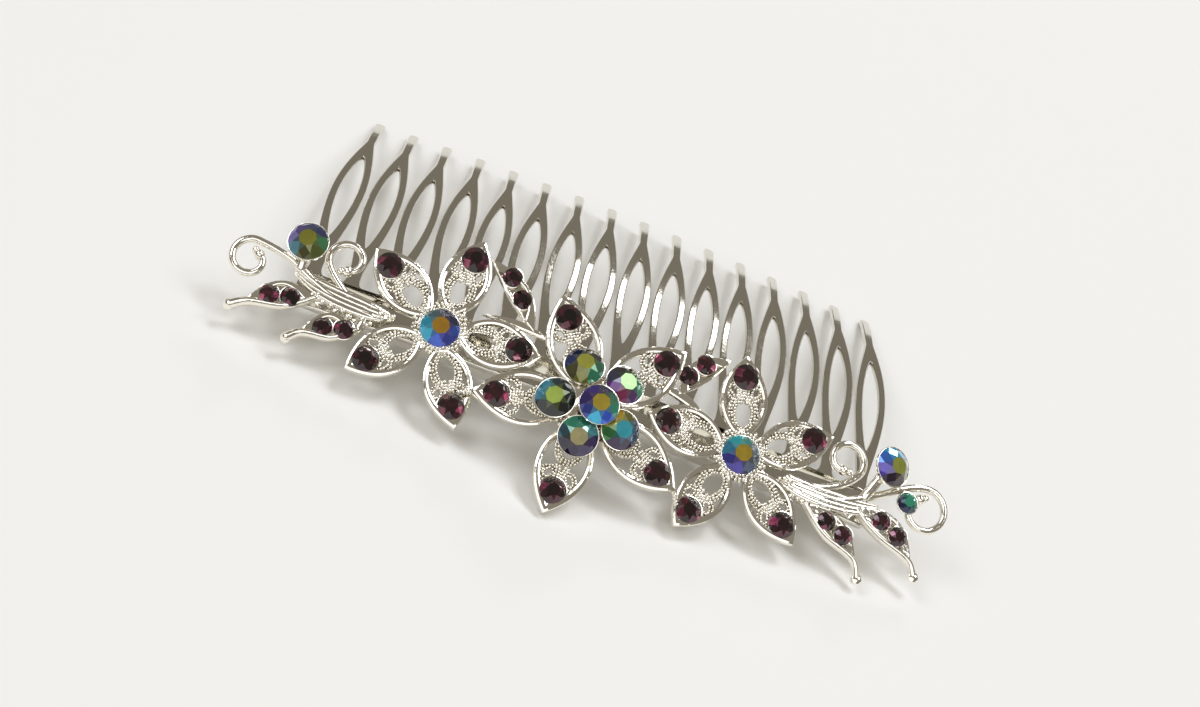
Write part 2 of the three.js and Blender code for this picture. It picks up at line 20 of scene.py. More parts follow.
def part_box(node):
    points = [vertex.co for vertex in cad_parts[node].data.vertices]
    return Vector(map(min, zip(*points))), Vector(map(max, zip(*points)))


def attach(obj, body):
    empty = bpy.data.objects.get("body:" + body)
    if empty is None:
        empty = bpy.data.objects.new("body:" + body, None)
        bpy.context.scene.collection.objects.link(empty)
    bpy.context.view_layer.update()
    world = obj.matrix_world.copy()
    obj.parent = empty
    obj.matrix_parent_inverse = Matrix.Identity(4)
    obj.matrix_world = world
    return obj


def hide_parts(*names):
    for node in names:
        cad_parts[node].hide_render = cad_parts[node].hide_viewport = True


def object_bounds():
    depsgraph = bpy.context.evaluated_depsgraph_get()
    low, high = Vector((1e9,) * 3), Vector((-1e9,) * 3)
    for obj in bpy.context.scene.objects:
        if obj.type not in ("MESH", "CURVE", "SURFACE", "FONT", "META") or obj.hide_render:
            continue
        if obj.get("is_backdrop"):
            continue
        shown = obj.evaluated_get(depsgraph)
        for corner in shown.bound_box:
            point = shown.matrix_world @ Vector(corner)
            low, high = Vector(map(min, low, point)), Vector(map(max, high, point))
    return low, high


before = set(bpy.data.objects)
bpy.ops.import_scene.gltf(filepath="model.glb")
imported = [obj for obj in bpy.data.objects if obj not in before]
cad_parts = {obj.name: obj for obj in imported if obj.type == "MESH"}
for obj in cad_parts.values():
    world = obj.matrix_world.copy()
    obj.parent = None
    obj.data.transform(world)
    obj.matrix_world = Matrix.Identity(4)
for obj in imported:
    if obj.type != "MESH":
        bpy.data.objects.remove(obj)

LOG = logging.getLogger("hair_comb")
MM = 0.001  # metres in a millimetre
BODY = "root"
REST_TILT = math.radians(2.5)  # lean of the whole comb as it lies on a table

Loop = list[tuple[float, float]]
Shape = tuple[list[Vector], list[tuple[int, ...]]]


class Slot(Enum):
    """The record's material slots."""

    COMB = "comb_metal"
    CASTING = "casting_metal"
    SOLDER = "solder"
    AURORA = "aurora_stone"
    AMETHYST = "amethyst_stone"


# ---------------------------------------------------------------- colour and nodes


def linear(hex_colour: str) -> tuple[float, float, float, float]:
    """Turns an sRGB hex colour into linear light.

    Args:
        hex_colour: Six hex digits, with or without a leading '#'.

    Returns:
        Red, green, blue and alpha, with alpha at 1.
    """
    digits = hex_colour.lstrip("#")
    channels = [int(digits[i : i + 2], 16) / 255 for i in (0, 2, 4)]
    light = [c / 12.92 if c <= 0.04045 else ((c + 0.055) / 1.055) ** 2.4 for c in channels]
    return (light[0], light[1], light[2], 1.0)


def add_node(
    tree: bpy.types.NodeTree, kind: str, settings: dict[str, Any] | None = None,
    links: dict[Any, bpy.types.NodeSocket] | None = None,
) -> bpy.types.Node:
    """Adds a node with its settings and links.

    Args:
        tree: The node tree.
        kind: The node's type name, such as "ShaderNodeBump".
        settings: Attributes by name, and input values by "in:NAME" or "in:INDEX".
        links: Output sockets to link, by the name or index of the input that takes them.

    Returns:
        The new node.
    """
    node = tree.nodes.new(kind)
    for name, value in (settings or {}).items():
        if name.startswith("in:"):
            key = name[3:]
            node.inputs[int(key) if key.isdigit() else key].default_value = value
        else:
            setattr(node, name, value)
    for key, socket in (links or {}).items():
        tree.links.new(socket, node.inputs[key])
    return node


def per_metre(size_mm: float) -> float:
    """Scale of a pattern in object coordinates whose features are a size in millimetres."""
    return 1.0 / (size_mm * MM)


def new_material(name: str) -> tuple[bpy.types.Material, bpy.types.NodeTree, bpy.types.Node]:
    """Makes an empty node material.

    Args:
        name: The material's name.

    Returns:
        The material, its tree and its output node.
    """
    material = bpy.data.materials.new(name)
    material.use_nodes = True
    tree = material.node_tree
    tree.nodes.clear()
    output = add_node(tree, "ShaderNodeOutputMaterial")
    return material, tree, output


@dataclass(frozen=True)
class PlatedMetal:
    """Bright plate over stamped or cast metal.

    The plate is smooth, so most of what shows is reflection. Fine polishing marks spread its
    highlights and a slow swell in the surface bends its reflections. Recesses get painted shade:
    ambient occlusion mixes the colour towards a darker one where surfaces crowd close.
    """

    name: str
    bright: str
    # The colour below is painted shade, which recesses take.
    recess_shade: str
    roughness: float
    roughness_spread: float
    mark_mm: float
    swell_mm: float
    swell_depth_mm: float
    recess_mm: float

    def build(self) -> bpy.types.Material:
        """Makes the material.

        Returns:
            The material.
        """
        material, tree, output = new_material(self.name)
        coords = add_node(tree, "ShaderNodeTexCoord").outputs["Object"]
        marks = add_node(
            tree, "ShaderNodeTexNoise", {"in:Scale": per_metre(self.mark_mm), "in:Detail": 3.0},
            {"Vector": coords},
        )
        swell = add_node(
            tree, "ShaderNodeTexNoise", {"in:Scale": per_metre(self.swell_mm), "in:Detail": 2.0},
            {"Vector": coords},
        )
        # Painted shade: where ambient occlusion finds recesses, the colour darkens towards the shade
        # colour.
        recess = add_node(
            tree, "ShaderNodeAmbientOcclusion", {"samples": 6, "in:Distance": self.recess_mm * MM},
        )
        unshaded_share = add_node(
            tree, "ShaderNodeMapRange", {"in:From Min": 0.25, "in:From Max": 0.85},
            {"Value": recess.outputs["AO"]},
        )
        colour = add_node(
            tree, "ShaderNodeMix",
            {"data_type": "RGBA", "in:6": linear(self.recess_shade), "in:7": linear(self.bright)},
            {0: unshaded_share.outputs["Result"]},
        )
        roughness = add_node(
            tree, "ShaderNodeMapRange",
            {
                "in:From Min": 0.3, "in:From Max": 0.7,
                "in:To Min": self.roughness, "in:To Max": self.roughness + self.roughness_spread,
            },
            {"Value": marks.outputs["Fac"]},
        )
        bump = add_node(
            tree, "ShaderNodeBump", {"in:Distance": self.swell_depth_mm * MM, "in:Strength": 0.6},
            {"Height": swell.outputs["Fac"]},
        )
        shader = add_node(
            tree, "ShaderNodeBsdfPrincipled", {"in:Metallic": 1.0},
            {
                "Base Color": colour.outputs[2],
                "Roughness": roughness.outputs["Result"],
                "Normal": bump.outputs["Normal"],
            },
        )
        tree.links.new(shader.outputs[0], output.inputs["Surface"])
        return material


@dataclass(frozen=True)
class CutGlass:
    """Foil-backed cut glass.

    Each facet has its own colour: partly the glass and coating's hue, partly painted reflection of
    what the coating and the foil behind it send back. Painted glints from the back facets break the
    colour up, and clear glass gives a sharp gloss on top.
    """

    name: str
    metallic: float
    roughness: float
    flash_mm: float
    flash: float
    coat: float

    def build(self) -> bpy.types.Material:
        """Makes the material.

        Returns:
            The material.
        """
        material, tree, output = new_material(self.name)
        # Each facet's colour: the stone's hue with painted reflection.
        hue_with_reflection = add_node(tree, "ShaderNodeAttribute", {"attribute_name": FACET_REFLECTION_ATTRIBUTE})
        coords = add_node(tree, "ShaderNodeTexCoord").outputs["Object"]
        # Painted glints: cells standing for back facets brighten or darken the colour.
        cells = add_node(
            tree, "ShaderNodeTexVoronoi", {"in:Scale": per_metre(self.flash_mm)}, {"Vector": coords},
        )
        value = add_node(
            tree, "ShaderNodeSeparateColor", {}, {"Color": cells.outputs["Color"]},
        )
        brightness = add_node(
            tree, "ShaderNodeMapRange",
            {"in:To Min": 1.0 - self.flash, "in:To Max": 1.0 + self.flash},
            {"Value": value.outputs[0]},
        )
        colour = add_node(
            tree, "ShaderNodeVectorMath", {"operation": "SCALE"},
            {0: hue_with_reflection.outputs["Color"], "Scale": brightness.outputs["Result"]},
        )
        shader = add_node(
            tree, "ShaderNodeBsdfPrincipled",
            {
                "in:Metallic": self.metallic, "in:Roughness": self.roughness,
                "in:Coat Weight": self.coat, "in:Coat Roughness": 0.02, "in:Coat IOR": 1.56,
            },
            {"Base Color": colour.outputs[0]},
        )
        tree.links.new(shader.outputs[0], output.inputs["Surface"])
        return material


@dataclass(frozen=True)
class MattCard:
    """Matt coated card under the comb, with a faint tooth."""

    name: str = "matt_off_white_card"
    colour: str = "f5f3ee"
    tooth_mm: float = 0.8

    def build(self) -> bpy.types.Material:
        """Makes the material.

        Returns:
            The material.
        """
        material, tree, output = new_material(self.name)
        coords = add_node(tree, "ShaderNodeTexCoord").outputs["Object"]
        tooth = add_node(
            tree, "ShaderNodeTexNoise", {"in:Scale": per_metre(self.tooth_mm)}, {"Vector": coords},
        )
        bump = add_node(
            tree, "ShaderNodeBump", {"in:Distance": 0.01 * MM, "in:Strength": 0.2},
            {"Height": tooth.outputs["Fac"]},
        )
        shader = add_node(
            tree, "ShaderNodeBsdfPrincipled",
            {"in:Base Color": linear(self.colour), "in:Roughness": 0.75},
            {"Normal": bump.outputs["Normal"]},
        )
        tree.links.new(shader.outputs[0], output.inputs["Surface"])
        return material


# Name of the per-facet colour, which holds the stone's hue with painted reflection.
FACET_REFLECTION_ATTRIBUTE = "facet_hue_and_reflection"

# Each finish's second colour is painted shade for its recesses.
# Sheet is plated after it is polished, so its flats are near mirrors with a slow wave in them.
STAMPED_PLATE = PlatedMetal(
    "silver_plate_on_stamped_brass", bright="dedbd2", recess_shade="b9b4a6", roughness=0.05,
    roughness_spread=0.07, mark_mm=0.5, swell_mm=6.0, swell_depth_mm=0.06, recess_mm=0.8,
)
# Castings keep a faint skin from the mould under the plate: bright, soft-edged, a little uneven.
CAST_PLATE = PlatedMetal(
    "silver_plate_on_cast_alloy", bright="fbf7ec", recess_shade="c9c2b0", roughness=0.06,
    roughness_spread=0.10, mark_mm=0.4, swell_mm=0.9, swell_depth_mm=0.08, recess_mm=0.9,
)
# Solder sets with a grainy skin, so its plate is greyer and only half bright.
PLATED_SOLDER = PlatedMetal(
    "silver_plate_on_soft_solder", bright="cfcabf", recess_shade="7a746a", roughness=0.25,
    roughness_spread=0.2, mark_mm=0.3, swell_mm=0.7, swell_depth_mm=0.12, recess_mm=0.9,
)
# A thin metal oxide coat makes each facet a mirror of one colour under clear glass.
AURORA_GLASS = CutGlass(
    "aurora_coated_cut_glass", metallic=0.4, roughness=0.08, flash_mm=0.9, flash=0.1, coat=1.0,
)
# Deep purple glass is nearly black until a back facet flashes; the flashes are painted glints in its
# facet colours.
AMETHYST_GLASS = CutGlass(
    "deep_amethyst_cut_glass", metallic=0.4, roughness=0.07, flash_mm=0.45, flash=0.5, coat=1.0,
)


# ---------------------------------------------------------------- places in the frame


def node_points(node: str) -> np.ndarray:
    """The different corners of a CAD node, in metres.

    Args:
        node: The node's name.

    Returns:
        An array of points, one a row.
    """
    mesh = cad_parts[node].data
    points = np.empty(len(mesh.vertices) * 3, np.float32)
    mesh.vertices.foreach_get("co", points)
    return np.unique(np.round(points.reshape(-1, 3).astype(float), 7), axis=0)


def place(x: float, y: float, lift: float = 0.0) -> Matrix:
    """A shift in a piece's flat frame, along its X and Y axes and its normal, in millimetres."""
    return Matrix.Translation((x, y, lift))


def stone_seat(node: str, crown: float) -> Matrix:
    """Finds where a stone sits from its CAD solid.

    The solid is an eight-sided stone, flatter than it is wide, with an eight-cornered table and a
    pointed back. The seat's origin is at the girdle, its Z axis points out of the table, and its X
    axis runs along the comb.

    Args:
        node: The stone's node.
        crown: Height of the table above the girdle, in millimetres.

    Returns:
        The seat's frame, from millimetres to metres.
    """
    points = node_points(node)
    centre = points.mean(axis=0)
    _, directions = np.linalg.eigh(np.cov((points - centre).T))
    axis = directions[:, 0]
    heights = (points - centre) @ axis
    top_corners = int((heights > heights.max() - 1e-5).sum())
    back_corners = int((heights < heights.min() + 1e-5).sum())
    if top_corners < back_corners:
        axis, heights = -axis, -heights
    table = points[heights > heights.max() - 1e-5].mean(axis=0)
    normal = Vector(axis)
    across = Vector((0.0, math.cos(REST_TILT), math.sin(REST_TILT)))
    along = across.cross(normal).normalized()
    up = normal.cross(along)
    turn = Matrix((along, up, normal)).transposed().to_4x4()
    origin = Vector(table) - normal * crown * MM
    return Matrix.Translation(origin) @ turn @ Matrix.Scale(MM, 4)


# ---------------------------------------------------------------- outlines and paths


def smooth_path(points: Sequence[Sequence[float]], count: int) -> list[Vector]:
    """A smooth curve through points, as a centripetal Catmull-Rom spline.

    Args:
        points: Two- or three-dimensional points.
        count: How many points the curve gets.

    Returns:
        Points along the curve, closer together where the given ones are.
    """
    given = [Vector((*p, 0.0)) if len(p) == 2 else Vector(p) for p in points]
    knots = [given[0] * 2 - given[1], *given, given[-1] * 2 - given[-2]]
    last = len(given) - 1
    path = []
    for i in range(count):
        place_along = last * i / (count - 1)
        k = min(int(place_along), last - 1)
        p0, p1, p2, p3 = knots[k : k + 4]
        t0 = 0.0
        t1 = t0 + max((p1 - p0).length, 1e-6) ** 0.5
        t2 = t1 + max((p2 - p1).length, 1e-6) ** 0.5
        t3 = t2 + max((p3 - p2).length, 1e-6) ** 0.5
        t = t1 + (t2 - t1) * (place_along - k)
        a1 = p0 * ((t1 - t) / (t1 - t0)) + p1 * ((t - t0) / (t1 - t0))
        a2 = p1 * ((t2 - t) / (t2 - t1)) + p2 * ((t - t1) / (t2 - t1))
        a3 = p2 * ((t3 - t) / (t3 - t2)) + p3 * ((t - t2) / (t3 - t2))
        b1 = a1 * ((t2 - t) / (t2 - t0)) + a2 * ((t - t0) / (t2 - t0))
        b2 = a2 * ((t3 - t) / (t3 - t1)) + a3 * ((t - t1) / (t3 - t1))
        path.append(b1 * ((t2 - t) / (t2 - t1)) + b2 * ((t - t1) / (t2 - t1)))
    return path


def ellipse(
    x: float, y: float, half_length: float, half_width: float, count: int, turn: float = 0.0,
) -> Loop:
    """An ellipse as a closed loop.

    Args:
        x: Place of its centre.
        y: Place of its centre.
        half_length: Half its length, along X before the turn.
        half_width: Half its width.
        count: How many points it gets.
        turn: Turn about its centre, in radians.

    Returns:
        Its points.
    """
    cosine, sine = math.cos(turn), math.sin(turn)
    loop = []
    for i in range(count):
        angle = math.tau * i / count
        a, b = half_length * math.cos(angle), half_width * math.sin(angle)
        loop.append((x + a * cosine - b * sine, y + a * sine + b * cosine))
    return loop


def curve_between(start: Vector, pulls: Sequence[Vector], end: Vector, count: int) -> Loop:
    """A quadratic or cubic curve as points, without its end.

    Args:
        start: Where it starts.
        pulls: One or two control points.
        end: Where it ends.
        count: How many points it gets.

    Returns:
        The points.
    """
    loop = []
    for i in range(count):
        t = i / count
        if len(pulls) == 1:
            point = start * (1 - t) ** 2 + pulls[0] * 2 * t * (1 - t) + end * t**2
        else:
            point = (
                start * (1 - t) ** 3 + pulls[0] * 3 * t * (1 - t) ** 2
                + pulls[1] * 3 * t**2 * (1 - t) + end * t**3
            )
        loop.append((point.x, point.y))
    return loop


def leaf_outline(
    base: Sequence[float], tip: Sequence[float], bulge: float, belly: float, count: int = 14,
) -> Loop:
    """The outline of a pointed leaf.

    Args:
        base: Where it starts.
        tip: Where it ends.
        bulge: How far its upper side bows out from the chord; below zero, to the other side.
        belly: How far its lower side bows out.
        count: How many points each side gets.

    Returns:
        Its points.
    """
    start, end = Vector(base), Vector(tip)
    middle = (start + end) / 2
    along = (end - start).normalized()
    aside = Vector((-along.y, along.x))
    upper = curve_between(start, [middle + aside * 2 * bulge], end, count)
    return upper + curve_between(end, [middle - aside * 2 * belly], start, count)


# Pulls on a petal's side, as shares of its length and of its half width.
PETAL_INNER_PULL = (0.22, 1.13)
PETAL_OUTER_PULL = (0.63, 1.45)


def petal_outline(
    root: float, reach: float, half_width: float, root_half_width: float, count: int = 20,
) -> Loop:
    """The outline of a petal along +X, broadest just past its middle.

    Args:
        root: Where it starts.
        reach: Where its tip is.
        half_width: Half its greatest width.
        root_half_width: Half its width at the root.
        count: How many points each side gets.

    Returns:
        Its points.
    """
    inner, outer = (
        (root + along * (reach - root), aside * half_width)
        for along, aside in (PETAL_INNER_PULL, PETAL_OUTER_PULL)
    )
    tip = Vector((reach, 0.0))
    lower = curve_between(
        Vector((root, -root_half_width)), [Vector((inner[0], -inner[1])), Vector((outer[0], -outer[1]))],
        tip, count,
    )
    upper = curve_between(
        tip, [Vector(outer), Vector(inner)], Vector((root, root_half_width)), count,
    )
    return lower + upper + [(root, root_half_width)]


# ---------------------------------------------------------------- metalwork


def cut_plate(
    outline: Loop, holes: Sequence[Loop], bottom: float, top: float, round_over: float,
) -> Shape:
    """A plate with rounded edges, as stamped or cast.

    Args:
        outline: Its outer edge.
        holes: Its openings.
        bottom: Level of its underside.
        top: Level of its upper side.
        round_over: Radius of its edges.

    Returns:
        Its vertices and faces.
    """
    curve = bpy.data.curves.new("outline", "CURVE")
    curve.dimensions = "2D"
    curve.fill_mode = "BOTH"
    curve.extrude = (top - bottom) / 2 - round_over
    curve.bevel_depth = round_over
    curve.bevel_resolution = 1
    curve.offset = -round_over
    for loop in (outline, *holes):
        spline = curve.splines.new("POLY")
        spline.points.add(len(loop) - 1)
        for point, (x, y) in zip(spline.points, loop):
            point.co = (x, y, 0.0, 1.0)
        spline.use_cyclic_u = True
    carrier = bpy.data.objects.new("outline", curve)
    mesh = bpy.data.meshes.new_from_object(carrier)
    level = (top + bottom) / 2
    verts = [Vector((v.co.x, v.co.y, v.co.z + level)) for v in mesh.vertices]
    faces = [tuple(p.vertices) for p in mesh.polygons]
    bpy.data.objects.remove(carrier)
    bpy.data.curves.remove(curve)
    bpy.data.meshes.remove(mesh)
    return verts, faces


def turned(profile: Sequence[tuple[float, float]], sides: int) -> Shape:
    """A turned solid about Z.

    Args:
        profile: Pairs of radius and height that start and end on the axis.
        sides: How many sides it has.

    Returns:
        Its vertices and faces.
    """
    verts = [Vector((0.0, 0.0, profile[0][1]))]
    rings = profile[1:-1]
    for radius, height in rings:
        for k in range(sides):
            angle = math.tau * k / sides
            verts.append(Vector((radius * math.cos(angle), radius * math.sin(angle), height)))
    verts.append(Vector((0.0, 0.0, profile[-1][1])))
    last = len(verts) - 1
    faces: list[tuple[int, ...]] = []
    for k in range(sides):
        after = (k + 1) % sides
        faces.append((0, 1 + after, 1 + k))
        for ring in range(len(rings) - 1):
            a, b = 1 + ring * sides, 1 + (ring + 1) * sides
            faces.append((a + k, a + after, b + after, b + k))
        end = 1 + (len(rings) - 1) * sides
        faces.append((end + k, end + after, last))
    return verts, faces


def drawn_wire(
    path: Sequence[Vector], radius: float | Callable[[float], float], sides: int = 10,
    flatten: float = 1.0,
) -> Shape:
    """A round wire along a path, with rounded ends.

    Args:
        path: Its centre line.
        radius: Its radius, or the radius at each share of its length.
        sides: Corners of its section.
        flatten: Height of its section over its width.

    Returns:
        Its vertices and faces.
    """
    size = radius if callable(radius) else (lambda _share: radius)
    count = len(path)
    stations: list[tuple[Vector, Vector, float]] = []
    for i, point in enumerate(path):
        direction = (path[min(i + 1, count - 1)] - path[max(i - 1, 0)]).normalized()
        stations.append((point, direction, size(i / (count - 1))))
    for end, sign in ((0, -1.0), (-1, 1.0)):
        point, direction, girth = stations[end]
        cap = [(point + direction * sign * girth * math.sin(a), direction, girth * math.cos(a))
               for a in (math.radians(35), math.radians(65))]
        stations = cap[::-1] + stations if sign < 0 else stations + cap
    upright = Vector((0.0, 0.0, 1.0))
    if abs(stations[len(stations) // 2][1].z) > 0.8:
        upright = Vector((1.0, 0.0, 0.0))
    verts: list[Vector] = []
    for point, direction, girth in stations:
        aside = direction.cross(upright).normalized()
        over = aside.cross(direction)
        for k in range(sides):
            angle = math.tau * k / sides
            verts.append(
                point + aside * girth * math.cos(angle) + over * girth * flatten * math.sin(angle)
            )
    faces: list[tuple[int, ...]] = []
    for i in range(len(stations) - 1):
        for k in range(sides):
            after = (k + 1) % sides
            a, b = i * sides, (i + 1) * sides
            faces.append((a + k, a + after, b + after, b + k))
    faces.append(tuple(reversed(range(sides))))
    end = (len(stations) - 1) * sides
    faces.append(tuple(range(end, end + sides)))
    return verts, faces


def shot(at: Vector, radius: float, sides: int = 8, rings: int = 4, flatten: float = 1.0) -> Shape:
    """A ball of metal, such as a bead of milgrain or a wire's melted end.

    Args:
        at: Its centre.
        radius: Its radius.
        sides: Corners round its girth.
        rings: Bands from pole to pole.
        flatten: Its height over its width.

    Returns:
        Its vertices and faces.
    """
    profile = [
        (radius * math.sin(math.pi * i / rings), -radius * flatten * math.cos(math.pi * i / rings))
        for i in range(rings + 1)
    ]
    verts, faces = turned(profile, sides)
    return [v + at for v in verts], faces


def spaced(loop: Sequence[Vector], spacing: float, closed: bool) -> list[Vector]:
    """Points spaced evenly along a path.

    Args:
        loop: The path's points.
        spacing: Distance wanted between neighbours.
        closed: Whether the path closes on itself.

    Returns:
        The evenly spaced points.
    """
    points = [*loop, loop[0]] if closed else list(loop)
    lengths = [0.0]
    for a, b in zip(points, points[1:]):
        lengths.append(lengths[-1] + (b - a).length)
    count = max(2, round(lengths[-1] / spacing))
    wanted = [lengths[-1] * i / count for i in range(count + (0 if closed else 1))]
    found, k = [], 0
    for distance in wanted:
        while k < len(points) - 2 and lengths[k + 1] < distance:
            k += 1
        share = (distance - lengths[k]) / max(lengths[k + 1] - lengths[k], 1e-9)
        found.append(points[k].lerp(points[k + 1], share))
    return found


BEAD_STRAY = (0.07, 0.07, 0.08)  # how far a bead of milgrain can be out of line


@dataclass
class Piece:
    """Gathers the shapes of one piece in flat millimetres and makes one object of them."""

    name: str
    slot: Slot
    verts: list[Vector] = field(default_factory=list)
    faces: list[tuple[int, ...]] = field(default_factory=list)
    facet_colours_and_reflections: list[tuple[float, float, float, float]] = field(default_factory=list)

    def add(self, shape: Shape, at: Matrix | None = None) -> None:
        """Adds a shape.

        Args:
            shape: Its vertices and faces.
            at: Where it goes in the piece's frame.
        """
        verts, faces = shape
        first = len(self.verts)
        self.verts.extend(at @ v if at else v.copy() for v in verts)
        self.faces.extend(tuple(first + k for k in face) for face in faces)

    def milgrain(
        self, path: Sequence[Vector], radius: float, spacing: float, rng: random.Random,
        closed: bool = True,
    ) -> None:
        """Adds a row of milgrain beads along a path, each a little out of line as casting leaves them.

        Args:
            path: The row's middle line.
            radius: A bead's radius.
            spacing: Distance between beads.
            rng: Gives each bead its own size and place.
            closed: Whether the path closes on itself.
        """
        for point in spaced(path, spacing, closed):
            stray = Vector([rng.uniform(-most, most) for most in BEAD_STRAY])
            self.add(shot(point + stray, radius * rng.uniform(0.85, 1.2), sides=7, rings=5))

    def finish(
        self, frame_at: Matrix, material: bpy.types.Material, replaces: str, crease: float = 40.0,
    ) -> bpy.types.Object:
        """Makes the object, gives it its body and hides the CAD node that it stands for.

        Args:
            frame_at: The piece's frame, from millimetres to metres.
            material: Its finish.
            replaces: The CAD node that it stands for.
            crease: Edges sharper than this angle, in degrees, stay crisp.

        Returns:
            The object.
        """
        mesh = bpy.data.meshes.new(self.name)
        mesh.from_pydata([frame_at @ v for v in self.verts], [], self.faces)
        mesh.materials.append(material)
        if self.facet_colours_and_reflections:
            mesh.polygons.foreach_set("use_smooth", [False] * len(self.faces))
            # Per-facet colours: the stone's hue with painted reflection and painted glints.
            layer = mesh.color_attributes.new(FACET_REFLECTION_ATTRIBUTE, "FLOAT_COLOR", "CORNER")
            for polygon, hue_with_reflection in zip(mesh.polygons, self.facet_colours_and_reflections):
                for corner in polygon.loop_indices:
                    layer.data[corner].color = hue_with_reflection
        else:
            mesh.polygons.foreach_set("use_smooth", [True] * len(self.faces))
            mesh.set_sharp_from_angle(angle=math.radians(crease))
        mesh.update()
        piece = bpy.data.objects.new(self.name, mesh)
        bpy.context.scene.collection.objects.link(piece)
        if not self.facet_colours_and_reflections:
            weighting = piece.modifiers.new("flat_faces_stay_flat", "WEIGHTED_NORMAL")
            weighting.keep_sharp = True
        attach(piece, BODY)
        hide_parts(replaces)
        LOG.info("%s: %d faces, for %s", self.name, len(self.faces), replaces)
        return piece


# ---------------------------------------------------------------- stones and cups


@dataclass(frozen=True)
class StoneCut:
    """Sizes of a round point-backed stone, in millimetres."""

    diameter: float
    table: float
    crown: float
    girdle: float
    pavilion: float
    mains: int = 8
    star_reach: float = 0.53
    star_table_share: float = 0.15

    @staticmethod
    def ring(radius: float, height: float, count: int, offset: float) -> list[Vector]:
        """A ring of corners.

        Args:
            radius: The ring's radius.
            height: Its height over the girdle.
            count: How many corners it has.
            offset: How far the first is past +X, in steps.

        Returns:
            The corners.
        """
        angles = [math.tau * (k + offset) / count for k in range(count)]
        return [Vector((radius * math.cos(a), radius * math.sin(a), height)) for a in angles]

    def facets(self) -> list[tuple[list[Vector], float]]:
        """The stone's facets: its table, eight stars, eight mains, halves, girdle and back.

        Returns:
            Each facet's corners, and how much of the table's colour it takes.
        """
        radius, table_radius = self.diameter / 2, self.table / 2
        mains, halves = self.mains, 2 * self.mains
        star_radius = (radius + table_radius) * self.star_reach
        star_inside = star_radius * math.cos(math.pi / mains)
        star_height = self.crown * (radius - star_inside) / (radius - table_radius)
        table = self.ring(table_radius, self.crown, mains, 0.0)
        star = self.ring(star_radius, star_height, mains, 0.5)
        upper = self.ring(radius, 0.0, halves, 0.0)
        lower = self.ring(radius, -self.girdle, halves, 0.0)
        culet = Vector((0.0, 0.0, -self.pavilion))

        found = [(table, 1.0)]
        for k in range(mains):
            after, before = (k + 1) % mains, (k - 1) % mains
            found.append(([table[k], star[k], table[after]], self.star_table_share))
            found.append(([table[k], star[before], upper[2 * k], star[k]], 0.0))
            found.append(([star[k], upper[2 * k], upper[2 * k + 1]], 0.0))
            found.append(([star[k], upper[2 * k + 1], upper[(2 * k + 2) % halves]], 0.0))
        for k in range(halves):
            after = (k + 1) % halves
            found.append(([upper[k], lower[k], lower[after], upper[after]], 0.0))
            found.append(([lower[k], culet, lower[after]], 0.0))
        return found


LARGE = StoneCut(5.5, 2.5, 1.3, 0.12, 0.9)
PETAL = StoneCut(3.8, 1.8, 0.9, 0.1, 0.8)
ACCENT = StoneCut(3.0, 1.4, 0.75, 0.1, 0.65)
LEAF = StoneCut(2.8, 1.3, 0.65, 0.1, 0.65)


@dataclass(frozen=True)
class StoneHueAndReflection:
    """Hue and painted reflection: the table's, and the crown's from +X round to +Y and on."""

    table: str
    crown: tuple[str, ...]
    # How far each facet's painted glint or shade strays from its colour.
    contrast: float = 0.15


COLOUR_STEP = 3.0  # how steeply one crown colour gives way to the next


@dataclass
class Stone:
    """One cut stone."""

    name: str
    node: str
    cut: StoneCut
    hue_with_reflection: StoneHueAndReflection
    slot: Slot
    seed: int

    def facet_hue_and_reflection(self, rng: random.Random, x: float, y: float, table_share: float) -> tuple[float, ...]:
        """Works out a facet's colour, hue with painted reflection, from where it lies.

        Args:
            rng: Gives each facet its own brightness.
            x: Place of the facet's middle.
            y: Place of the facet's middle.
            table_share: How much of the table's colour it takes.

        Returns:
            A linear colour.
        """
        crown = [linear(c) for c in self.hue_with_reflection.crown]
        around = (math.atan2(y, x) / math.tau) % 1.0 * len(crown)
        first = int(around) % len(crown)
        second = (first + 1) % len(crown)
        share = min(1.0, max(0.0, (around - int(around)) * COLOUR_STEP - (COLOUR_STEP - 1) / 2))
        table = linear(self.hue_with_reflection.table)
        # Painted glint or shade: each facet is brightened or darkened at random.
        bright = 1.0 + self.hue_with_reflection.contrast * rng.uniform(-1.0, 1.0)
        mixed = []
        for a, b, t in zip(crown[first], crown[second], table):
            edge = a * (1 - share) + b * share
            mixed.append(min(1.0, (edge * (1 - table_share) + t * table_share) * bright))
        return (mixed[0], mixed[1], mixed[2], 1.0)

    def build(self, material: bpy.types.Material) -> bpy.types.Object:
        """Cuts the stone and sets it in place.

        Args:
            material: Its glass.

        Returns:
            The stone's object.
        """
        cut, rng = self.cut, random.Random(self.seed)
        piece = Piece(self.name, self.slot)
        for points, table_share in cut.facets():
            middle = sum(points, Vector()) / len(points)
            first = len(piece.verts)
            piece.verts.extend(points)
            piece.faces.append(tuple(range(first, first + len(points))))
            piece.facet_colours_and_reflections.append(self.facet_hue_and_reflection(rng, middle.x, middle.y, table_share))
        return piece.finish(stone_seat(self.node, cut.crown), material, self.node)


